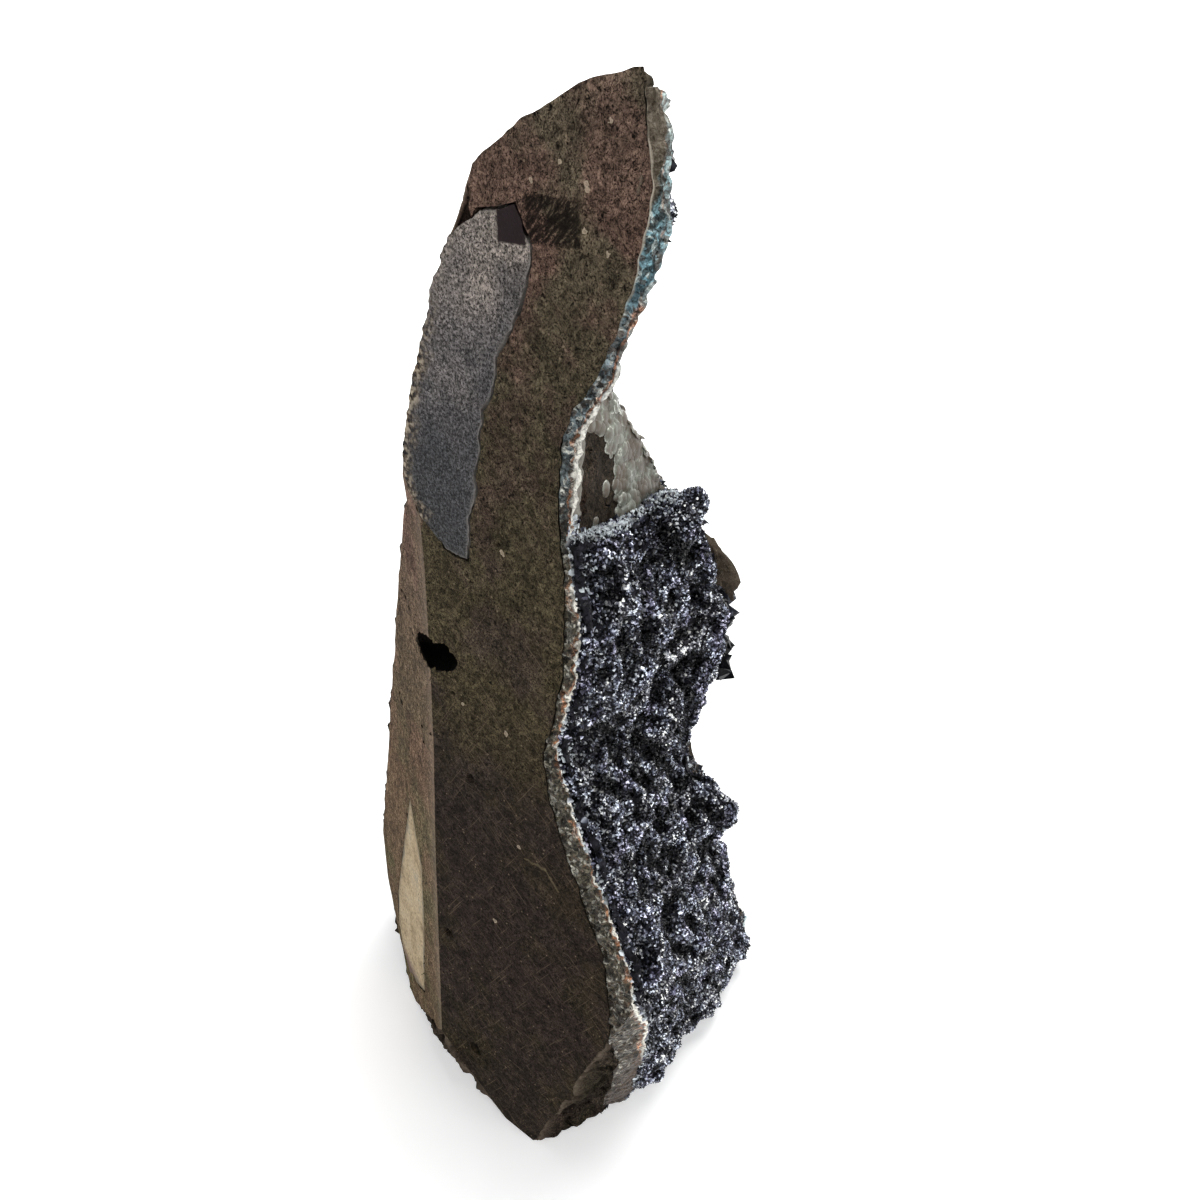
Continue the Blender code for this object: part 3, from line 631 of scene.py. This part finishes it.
rusty = add("ValToRGB", (depth,), stops=[(0.45, 0.0), (0.54, 0.8), (0.62, 0.8), (0.68, 0.0)])
rust_patch = add("TexNoise", {"Vector": mm, "Scale": 1 / 9, "Detail": 3.0})
rust_share = add("MapRange", (rust_patch, 0.36, 0.5))
rusty = add("Math", (rusty, rust_share), operation="MULTIPLY")
crumb = cells(add, mm, 0.95, "Y")
white_crumb = add("ValToRGB", (crumb,), stops=[(0.74, 0.0), (0.84, 0.45)])
brown_crumb = add("ValToRGB", (crumb,), stops=[(0.14, 0.75), (0.24, 0.0)])
for share, colour in ((rusty, "#97684b"), (white_crumb, "#aeaca2"), (brown_crumb, "#3d3228")):
    bands = add("Mix", {0: share, 6: bands, 7: colour}, 2, **OVER)
speck = add("TexNoise", {"Vector": mm, "Scale": 1 / 0.9, "Detail": 4.0, "Roughness": 0.75,
                         "Distortion": 1.0})
speck_tone = add("MapRange", (speck, 0.38, 0.64, 0.05, 2.2))
for size in (0.8, 1.7):
    cell = add("ValToRGB", (cells(add, mm, size, "X"),),
               stops=[(0.0, 0.2), (0.35, 0.62), (0.7, 0.85), (0.95, 1.0)])
    speck_tone = add("Math", (cell, speck_tone), operation="MULTIPLY")
speck_tone = add("Math", (speck_tone, 1.9), operation="MULTIPLY")
bands = add("Mix", {0: 1.0, 6: bands, 7: speck_tone}, 2, **TIMES)
# The white edge of fine quartz, less of it above and at the foot
pale = add("ValToRGB", (depth,), stops=[(0.64, 0.0), (0.76, 1.0)])
less = add("ValToRGB", (up,), stops=[(0.03, 0.4), (0.08, 1.0), (0.64, 1.0), (0.7, 0.7),
                                     (0.8, 0.7), (0.87, 0.12)])
pale = add("Math", (pale, less), operation="MULTIPLY")
crystal = add("MapRange", (speck_tone, 0.0, 1.0, 0.6, 1.6))
crystal = add("Mix", {0: 1.0, 6: "#cfccc3", 7: crystal}, 2, **TIMES)
inward = add("Math", (inward, 0.85), operation="MULTIPLY")
tan = add("ValToRGB", (speck,), stops=[(0.35, "#332c24"), (0.5, "#5c5346"), (0.65, "#8b8273")])
rock = add("ValToRGB", (speck,), stops=[(0.38, "#15110f"), (0.5, "#3a2e26"), (0.64, "#66584b")])
# A thin pale line where it began on the basalt, near the top
start = add("ValToRGB", (layer,), stops=[(0.03, 0.8), (0.07, 0.0)])
start_high = add("MapRange", (height, 255.0, 270.0))
pale_line = add("Math", (start, start_high), operation="MULTIPLY")
for share, colour in ((pale, crystal), (inward, "#4a4539"), (chipped, tan), (rear, rock),
                      (pale_line, "#b5ab9b")):
    bands = add("Mix", {0: share, 6: bands, 7: colour}, 2, **OVER)
surface(add, bands, 0.4, 1.54, 0.15, speck, 0.6, 0.8)
stone_piece("chalcedony_lining", points, faces, [rind_stone], "chalcedony",
            ["chalcedony_rind"], across=across, chip=chip, rear=rear_share, turned=turned)

# Its rear rim and the ledge above the crust carry quartz points too
middle = points[faces].mean(axis=1)
least_gap = gap[faces].min(axis=1)
open_faces = loose[faces].any(axis=1) & (least_gap > 0.5)
rear_ground.append((points, faces[open_faces & (least_gap > 14.0) & (middle[:, 2] < 204.0)
                                  & (middle[:, 1] > -30.0)]))
ledge = open_faces & (middle[:, 2] > 190.0) & (middle[:, 2] < 219.0) & (
    high[faces].mean(axis=1) < 4.5)
ledge_ground = (points, faces[ledge])

# Black amethyst: a dense druse of smoky violet quartz points, 0.5 to 2 mm wide, that grew on the
# rind and over its lumps. Each point is a six-sided pyramid, glassy and almost black.
HOLLOW_SIDE = unit(np.array((0.8, -0.6, 0.1)))      # the way the open side of the hollow faces
ACROSS_RIDGES = np.array((0.385, 0.662, 0.643))     # low ridges slant down over the lower half
ALONG_RIDGES = np.array((0.321, 0.551, -0.77))
CREVICE = np.array((19.3, -58.7, 183.2))            # middle of the deep gap between its humps
MOST_POINTS = 18000                                 # in one mesh
to_ground = near_to("chalcedony_rind", "basalt_host")

# Grown faces of smoky quartz: glassy, and light or dark at random from one corner to the next; the
# palest corners, up to white, are painted glints that make the crust sparkle. Painted shade darkens
# the gaps and the crevice between the humps of the crust, and painted light brightens the humps.
# Frosted white where it thins out on its ground.
quartz, add, mm = new_material("smoky_violet_quartz_grown_faces")
tone, hump, frosted = (add("Attribute", attribute_name=key, out="Fac")
                       for key in ("tone", "hump", "frost"))
# Tone at random, from near black to white: the white end is painted glints
colour = add("ValToRGB", (tone,), stops=[
    (0.1, "#020203"), (0.38, "#111115"), (0.52, "#37373f"), (0.64, "#717380"),
    (0.73, "#c2c4cc"), (0.82, "#ffffff")])
patch = add("TexNoise", {"Vector": mm, "Scale": 1 / 9, "Detail": 3.0})
tint = add("ValToRGB", (patch,), stops=[(0.4, "#e6e6e2"), (0.52, "#d6dde4"), (0.64, "#d3d0e2")])
# Painted shade and light: near black in the gaps and the crevice, lighter on the humps
lift = add("MapRange", (hump, -1.0, 1.0, 0.06, 1.7))
for shade in (tint, lift):
    colour = add("Mix", {0: 1.0, 6: colour, 7: shade}, 2, **TIMES)
frosted = add("Math", (frosted, tone), operation="MULTIPLY")
frosted = add("Math", (frosted, 1.4), operation="MULTIPLY", use_clamp=True)
colour = add("Mix", {0: frosted, 6: colour, 7: "#d3dbdf"}, 2, **OVER)
surface(add, colour, 0.1, 1.55, 0.12)

# Massive quartz below the points: nearly black and half dull, white in its first layer
matrix, add, mm = new_material("smoky_quartz_massive_base")
patch = add("TexNoise", {"Vector": mm, "Scale": 1 / 2.0, "Detail": 4.0})
colour = add("ValToRGB", (patch,), stops=[(0.4, "#09090b"), (0.65, "#232329")])
white = add("MapRange", (add("Attribute", attribute_name="pale", out="Fac"), 0.25, 0.6))
colour = add("Mix", {0: white, 6: colour, 7: "#8d9091"}, 2, **OVER)
surface(add, colour, 0.4, 1.55, 0.03)


def crust_edge(place):
    return 0.8 if behind_front(place) < 3.0 or 194.0 < place.z < 214.0 else 1.5


def quartz_points(places, axes, widths, chance):
    """Closed six-sided pyramids, all in one mesh: corners, faces and a random tone for each corner,
    whose palest values are painted glints.
    """
    count = len(places)
    side, other = across_and_along(axes, chance)
    turn = np.arange(6) * math.pi / 3
    wide = widths[:, None] * chance.uniform(0.75, 1.2, (count, 6))
    ring = places[:, None] + (wide * np.cos(turn))[:, :, None] * side[:, None] \
        + (wide * np.sin(turn))[:, :, None] * other[:, None]
    lean = chance.uniform(-0.3, 0.3, (2, count, 1)) * widths[:, None]
    tip = places + axes * (widths * chance.uniform(1.1, 1.6, count))[:, None] \
        + lean[0] * side + lean[1] * other
    corners = np.concatenate([tip[:, None], ring], axis=1).reshape(-1, 3)
    shapes = []
    for top in range(0, count * 7, 7):
        shapes += [(top, top + 1 + k, top + 1 + (k + 1) % 6) for k in range(6)]
        shapes.append(tuple(range(top + 6, top, -1)))
    tone = 0.5 * chance.random((count, 1)) + 0.5 * chance.random((count, 7))
    return corners, shapes, tone.reshape(-1)


def crevice(points):
    """Near 1 in the one deep gap between the humps of the crust, 0 away from it."""
    back = (CREVICE - points) @ FRONT_OUT
    rise = points[:, 2] - CREVICE[2]
    return np.exp(-((back + 0.4 * rise) / 2.8) ** 2 - (rise / 6.5) ** 2)


def druse_points(name, points, faces, spacing, width, tries, seed, frosty=1.0):
    """Quartz points on the given faces, as one piece or more. Each corner knows its tone, whose
    palest values are painted glints, whether it is frosted near an edge of the crust, and how high
    it stands on a hump or how deep in a gap, which paints shade in the gaps and light on the humps."""
    chance = np.random.default_rng(seed)
    outward = corner_normals(points, faces)
    loose = touches(faces, slice(None), len(points))
    hump = ((points - smoothed(points, faces, loose, 30)) * outward).sum(axis=1)
    spots, picks = scatter(points, faces, spacing, tries, chance)
    normal = outward[faces[picks]].mean(axis=1)
    axes = unit(unit(normal) + chance.normal(0.0, 0.38, normal.shape))
    widths = width * np.clip(chance.lognormal(0.0, 0.33, len(spots)), 0.5, 2.2)
    near = each(to_ground, spots)
    sink = widths * np.interp(near, (0.0, 1.4), (0.2, 1.25))
    spots = spots - unit(normal) * sink[:, None]
    # Painted shade and light from the relief: faded near the ground, deepest in the crevice
    hump = np.clip(hump[faces[picks]].mean(axis=1) / 0.5, -1.0, 1.0)
    hump *= np.interp(near, (0.0, 3.5), (0.0, 1.0))
    hump = np.clip(hump - 3.0 * crevice(spots), -1.0, 1.0)
    fades = np.interp(spots[:, 2], (150, 195, 203), (0.3, 0.4, 1.1))
    frost = frosty * np.exp(-near / fades) > chance.random(len(spots)) * 1.2
    parts = np.array_split(np.argsort(spots[:, 2]), math.ceil(len(spots) / MOST_POINTS))
    for number, part in enumerate(parts):
        corners, shapes, tone = quartz_points(spots[part], axes[part], widths[part], chance)
        stone_piece(f"{name}_{number + 1}", corners, shapes, [quartz], "black_amethyst",
                    sharp=0, tone=tone, frost=np.repeat(frost[part], 7).astype(float),
                    hump=np.repeat(hump[part], 7))


def druse(node, name, tries, seed):
    """The body of one crust, set back, and the points that stand on it up to the solid's skin."""
    points, faces = fine_copy(node, crust_edge)
    under = each(to_ground, points)
    upper = under > 0.4
    points = smoothed(points, faces, upper, 4)
    flat = np.stack([points @ ACROSS_RIDGES * 3.2, points @ ALONG_RIDGES, points[:, 0] * 0.3],
                    axis=1)
    swell = 1.6 * waves(points, 10.0, 7.7) + 1.2 * waves(points, 4.6, 2.9) - 1.0
    swell += 2.0 * waves(flat, 12.0, 3.3) * np.clip((190.0 - points[:, 2]) / 30.0, 0.0, 1.0)
    swell -= 5.0 * crevice(points)
    points += corner_normals(points, faces) * (swell * upper)[:, None]
    skin = upper[faces].any(axis=1) | (
        (unit(face_normals(points, faces)) @ HOLLOW_SIDE > 0.3) & (under[faces].max(axis=1) > 0.02))
    strayed = points + drift(points)
    body = strayed - corner_normals(points, faces) * (upper * 0.9)[:, None]
    stone_piece(name + "_body", body, faces, [matrix], "black_amethyst", [node],
                pale=np.exp(-under / 0.5) * (points[:, 2] > 194.0))
    druse_points(name + "_points", strayed, faces[skin], 0.6, 0.47, tries, seed)


druse("amethyst_crust", "druse", 280000, 4)
druse("upper_amethyst_crust", "upper_druse", 36000, 9)
for number, (ground, open_part) in enumerate(rear_ground):
    druse_points(f"rear_rim_{number + 1}_points", ground, open_part, 0.8, 0.65, 30000,
                 13 + number, 0.1)
druse_points("ledge_points", *ledge_ground, 0.55, 0.5, 14000, 17)

# Ball of quartz points: a round lump of chalcedony beside the upper rim, 5 mm wide, that the
# same dark quartz grew over on all sides.


def boulder(centre, size, along, seed, grain):
    """Corners and triangles of a rounded lump, longest along one direction, in mm."""
    bm = bmesh.new()
    bmesh.ops.create_icosphere(bm, subdivisions=4, radius=1.0)
    points = np.array([v.co for v in bm.verts])
    faces = np.array([[v.index for v in f.verts] for f in bm.faces])
    bm.free()
    points *= (1.0 + grain * waves(points, 0.9, seed) + 0.4 * grain * waves(points, 0.35, seed)
               + 0.2 * grain * waves(points, 0.15, seed))[:, None]
    along = unit(np.array(along, float))
    side = unit(np.cross(along, (0.0, 1.0, 0.0)))
    turned = np.stack([side, np.cross(along, side), along])
    return (points * np.array(size)) @ turned + np.array(centre), faces


ball = boulder((22.0, -71.0, 277.3), (2.6, 2.6, 3.0), UP, 3.0, 0.25)
druse_points("upper_ball_points", *ball, 0.55, 0.45, 3000, 23)

# Knob of quartz points: a lump on the rear corner of the ledge, 9 mm wide. It is massive quartz
# with points grown over it, as the crust is.
KNOB = (34.2, -20.5, 201.1)
corners, shapes = boulder(KNOB, (3.3, 3.3, 3.5), UP, 9.0, 0.15)
stone_piece("rim_knob_body", corners, shapes, [matrix], "black_amethyst",
            pale=np.zeros(len(corners)))
druse_points("rim_knob_points", *boulder(KNOB, (4.3, 4.3, 4.5), UP, 9.0, 0.15), 0.55, 0.45,
             6000, 37)

# Basalt flake: a rounded flake of the brown host rock, 26 mm high, that stayed on the rear rim
# when the rest broke away. Rough and matte, paler where it is chipped.
corners, shapes = boulder((43.5, 13.5, 168.0), (4.0, 3.6, 11.5), (-10, 1, 20), 5.0, 0.65)
stone_piece("basalt_flake", corners, shapes, [broken_rock], "basalt",
            edge=0.4 + 0.4 * waves(corners, 3.0, 3.0))

# Broken quartz: sharp pieces of the smoky quartz, 3 to 7 mm wide, left standing on the rear rim
# under the flake. Glassy and darker than the grown points, with fewer painted glints and a little
# painted shade.
SPLINTERS = 90
chance = np.random.default_rng(31)
places = np.array((46.0, 13.0, 144.5)) \
    + chance.uniform(-1, 1, (SPLINTERS, 3)) * np.array((3.2, 4.0, 13.5))
axes = unit(np.array((0.75, -0.55, 0.1)) + chance.normal(0, 0.4, (SPLINTERS, 3)))
corners, shapes, tone = quartz_points(places, axes, chance.uniform(1.4, 3.4, SPLINTERS), chance)
stone_piece("broken_quartz", corners, shapes, [quartz], "black_amethyst", sharp=0,
            tone=0.62 * tone, hump=np.full(len(tone), -0.2))

# Glassy lumps: eight small domes of clear blue-grey and white chalcedony that grew on the rear
# edge, near the foot. Their grown skin is smooth and shines; painted shade darkens the foot of
# each.
LUMPS = [(63.0, 25.5, 3.4), (64.3, 26.0, 5.6), (62.2, 25.0, 6.4), (64.6, 26.5, 2.6),
         (64.0, 25.8, 13.0), (64.6, 26.0, 14.6), (63.4, 25.4, 15.4), (64.2, 25.6, 11.4)]
LUMP_WIDTHS = (2.6, 1.9, 1.8, 1.6, 1.1, 1.0, 1.2, 0.9)
glassy, add, mm = new_material("chalcedony_glassy_blue")
crown_at = add("Attribute", attribute_name="crown", out="Fac")
# Darkest at the foot of each lump: painted shade where it meets the rock
colour = add("ValToRGB", (crown_at,), stops=[
    (0.0, "#1f272c"), (0.4, "#55727e"), (0.75, "#9fb4b8"), (1.0, "#d6dcda")])
surface(add, colour, 0.12, 1.54, 0.5)
axes = np.tile(unit(np.array((0.6, -0.75, 0.25))), (len(LUMPS), 1))
corners, shapes, crown = domes(np.array(LUMPS), axes, np.array(LUMP_WIDTHS), 0.9, chance)
stone_piece("glassy_lumps", corners, shapes, [glassy], "chalcedony", crown=crown, sharp=60)

# Grey agate: a filled crack, sawn and half polished with the front, fine salt-and-pepper grain.
# Dark blue-grey below and paler and warmer towards the top, where a broad highlight is painted,
# with a dark open seam round it.
VEIN_EDGE = 1.0                 # longest edge of the fine copies of both veins
points, faces = fine_copy("grey_agate_vein", lambda place: VEIN_EDGE)
outward = corner_normals(points, faces)
gap = FRONT_DISTANCE - points @ FRONT_OUT
near = each(to_basalt, points)
rim = (near < 0.4) & (gap < 3.0)
along, height = points @ FRONT_ALONG, points[:, 2]
# Its left edge in the solid, and the ragged edge to which it laps over the basalt
left = np.interp(height, (198, 202, 207.5, 212, 219, 240.5, 257.5, 271.5, 275),
                 (5.4, 4.6, 0.6, -2.4, -2.4, 4.4, 11.6, 19.8, 22.8))
outer = np.interp(height, (197, 207, 212.5, 218, 230, 241, 258, 262, 267, 271, 274),
                  (-2.6, -2.9, -6.2, -6.0, -2.6, 1.0, 8.2, 10.2, 13.0, 15.4, 17.0))
lap = np.clip(1.0 - (along - left) / 4.0, 0.0, 1.0)
lap *= np.interp(height, (199, 205, 269, 273), (0, 1, 1, 0))
inset = (0.2 + 0.4 * np.clip(waves(points, 6.0, 31.0) + 0.4, 0, None)
         + 0.5 * waves(points, 1.6, 4.0)) * rim * (lap < 0.1)
inward = -(outward - (outward @ FRONT_OUT)[:, None] * FRONT_OUT)
points = points + drift(points) + unit(inward) * inset[:, None]
crusty = lap * np.clip(waves(points, 3.0, 14.0) + waves(points, 1.3, 2.0), -1.0, 1.0)
points -= FRONT_ALONG * (lap * (left - outer + 0.1) + 0.4 * crusty)[:, None]
points += FRONT_OUT * (lap * (0.8 * gap + 0.1) + 0.35 * np.clip(crusty, 0, 1))[:, None]
border = np.exp(-(near / 0.7) ** 2) * (lap < 0.1)
left_crust = np.clip(lap * 1.9 - 0.8 + 0.7 * waves(points, 4.0, 6.0), 0.0, 1.0)
left_crust *= np.interp(height, (199, 205, 244, 256), (1.0, 1.0, 1.0, 0.2))

# Agate rubbed down after the saw: satin, with a broad soft highlight painted into its colour, paler
# towards the top. Its quartz grains, drawn 0.55 mm wide to show, are light and dark.
agate, add, mm = new_material("agate_sawn_satin")
along = add("VectorMath", (mm, FRONT_ALONG), "Value", operation="DOT_PRODUCT")
height = add("SeparateXYZ", (mm,), "Z")
# Painted highlight: the colour grows paler and warmer up the agate
level = add("MapRange", (height, 196.0, 277.0))
cloud = add("TexNoise", {"Vector": mm, "Scale": 1 / 18, "Detail": 3.0})
sway = add("MapRange", (cloud, 0.3, 0.7, -0.15, 0.15))
level = add("Math", (level, sway), operation="ADD")
colour = add("ValToRGB", (level,), stops=[
    (0.0, "#2b2b2c"), (0.3, "#303032"), (0.5, "#3b393a"), (0.7, "#504c4b"), (0.9, "#645d58"),
    (1.0, "#67605a")])
to_right = add("MapRange", (along, 26.0, 29.5))
half = add("ValToRGB", (level,), stops=[(0.4, 0.0), (0.55, 0.55), (0.86, 0.55), (0.92, 0.0)])
half = add("Math", (half, to_right), operation="MULTIPLY")
colour = add("Mix", {0: half, 6: colour, 7: "#2c2c2e"}, 2, **OVER)
grain = add("TexNoise", {"Vector": mm, "Scale": 1 / 0.55, "Roughness": 0.8})
for reading in ((grain, 0.38, 0.62, 0.1, 2.1), (cells(add, mm, 0.7, "X"), 0.0, 1.0, 0.55, 1.45)):
    colour = add("Mix", {0: 1.0, 6: colour, 7: add("MapRange", reading)}, 2, **TIMES)
pale, crust_share = (add("Attribute", attribute_name=key, out="Fac")
                     for key in ("border", "crust"))
pale = add("Math", (pale, 0.5), operation="MULTIPLY")
spot = add("CombineXYZ", {0: along, 2: height})
stain = add("MapRange", (patch_reach(add, spot, (32.2, 273.4), (3.7, 3.9)), 1.06, 0.94))
pore = add("TexNoise", {"Vector": mm, "Scale": 1 / 1.2, "Detail": 3.0})
crust = add("ValToRGB", (pore,), stops=[(0.4, "#120f0d"), (0.5, "#54483b"), (0.62, "#9a8f7d")])
for share, shade in ((pale, "#8f8a84"), (stain, "#1c1214"), (crust_share, crust)):
    colour = add("Mix", {0: share, 6: colour, 7: shade}, 2, **OVER)
surface(add, colour, 0.45, 1.54, 0.06, grain, 0.2, 0.6)
stone_piece("agate_vein", points, faces, [agate], "grey_agate", ["grey_agate_vein"],
            border=border, crust=left_crust)

# Cream vein: a filled crack of cream chalcedony and calcite, flush in the sawn left side. Its
# border with the basalt is greyer than its middle.
points, faces = fine_copy("cream_vein", lambda place: VEIN_EDGE)
border = np.exp(-(each(to_basalt, points) / 1.6) ** 2)

# Calcite sawn with the rock and weathered: matte, mottled cream with brown pores
cream, add, mm = new_material("calcite_vein_sawn")
height = add("SeparateXYZ", (mm,), "Z")
cloud = add("TexNoise", {"Vector": mm, "Scale": 1 / 9, "Detail": 5.0, "Roughness": 0.65})
colour = add("ValToRGB", (cloud,), stops=[
    (0.3, "#6a5b44"), (0.42, "#8b7a5e"), (0.55, "#a08f72"), (0.7, "#8a8270")])
lower_end = add("MapRange", (height, 19.0, 13.0))
colour = add("Mix", {0: lower_end, 6: colour, 7: "#5b4540"}, 2, **OVER)
grain = add("TexNoise", {"Vector": mm, "Scale": 1 / 0.8})
shade = add("MapRange", (grain, 0.3, 0.7, 0.6, 1.4))
colour = add("Mix", {0: 1.0, 6: colour, 7: shade}, 2, **TIMES)
edge_grey = add("Attribute", attribute_name="border", out="Fac")
ragged = add("MapRange", (cloud, 0.35, 0.65, 0.2, 1.5))
edge_grey = add("Math", (edge_grey, ragged), operation="MULTIPLY", use_clamp=True)
pore = add("TexVoronoi", {"Vector": mm, "Scale": 1 / 2.4})
pore = add("ValToRGB", (pore,), stops=[(0.12, 0.8), (0.2, 0.0)])
for share, shade in ((edge_grey, "#5c5546"), (pore, "#5a4c3a")):
    colour = add("Mix", {0: share, 6: colour, 7: shade}, 2, **OVER)
surface(add, colour, 0.7, 1.5, 0.08, cloud, 0.5, 0.5)
stone_piece("cream_vein_filling", points, faces, [cream], "cream_vein", ["cream_vein"],
            border=border)

# Stage: a wide white table of matte paper that curves up all round, brighter to the back, under
# three soft lights.
TABLE_SIDES = 64
TABLE_RINGS = [(0.001, 0.0), (0.9, 0.0), (1.1, 0.02), (1.3, 0.09), (1.45, 0.22), (1.52, 0.4),
               (1.55, 0.9)]     # radius and height in metres
paper, add, mm = new_material("white_paper_matte")
glow = add("MapRange", (add("SeparateXYZ", (mm,), "Y"), 50.0, 1100.0, 0.34, 0.95))
shader = add("BsdfPrincipled", {"Base Color": "#f4f4f4", "Roughness": 0.9,
                                "Specular IOR Level": 0.1, "Emission Color": "#ffffff",
                                "Emission Strength": glow})
add("OutputMaterial", {"Surface": shader})
bm = bmesh.new()
circle = []
for radius, height in TABLE_RINGS:
    circle.append([bm.verts.new((radius * math.cos(a), radius * math.sin(a), height))
                   for a in np.arange(TABLE_SIDES) * math.tau / TABLE_SIDES])
for lower, upper in zip(circle, circle[1:]):
    for i in range(TABLE_SIDES):
        n = (i + 1) % TABLE_SIDES
        bm.faces.new((lower[i], lower[n], upper[n], upper[i]))
bm.faces.new(circle[0])
mesh = bpy.data.meshes.new("table")
bm.to_mesh(mesh)
bm.free()
mesh.shade_smooth()
mesh.materials.append(paper)
table = bpy.data.objects.new("table", mesh)
bpy.context.scene.collection.objects.link(table)

for name, place, size, power in (("top_softbox", (0.22, 0.1, 1.1), 0.6, 10.0),
                                 ("left_softbox", (-0.5, -1.0, 0.9), 0.9, 4.5),
                                 ("right_softbox", (0.85, -0.55, 0.5), 0.3, 2.5)):
    lamp = bpy.data.lights.new(name, "AREA")
    lamp.size = size
    lamp.energy = power
    light = bpy.data.objects.new(name, lamp)
    light.location = place
    light.rotation_mode = "QUATERNION"
    light.rotation_quaternion = (Vector(place) - Vector((0, 0, 0.12))).to_track_quat("Z", "Y")
    bpy.context.scene.collection.objects.link(light)

world = bpy.data.worlds.new("soft_room")
world.use_nodes = True
world.node_tree.nodes["Background"].inputs["Color"].default_value = (1.0, 1.0, 1.0, 1.0)
world.node_tree.nodes["Background"].inputs["Strength"].default_value = 0.1
bpy.context.scene.world = world
bpy.context.scene.view_settings.view_transform = "Standard"

# Camera: above the specimen and near it, looking down
view = bpy.data.cameras.new("camera")
view.sensor_width = 36.0
view.lens = 31.86
view.clip_start = 0.01
camera = bpy.data.objects.new("camera", view)
camera.location = (0.011, -0.265, 0.3053)
camera.rotation_euler = (math.radians(61.7), 0.0, 0.0)
bpy.context.scene.collection.objects.link(camera)
bpy.context.scene.camera = camera
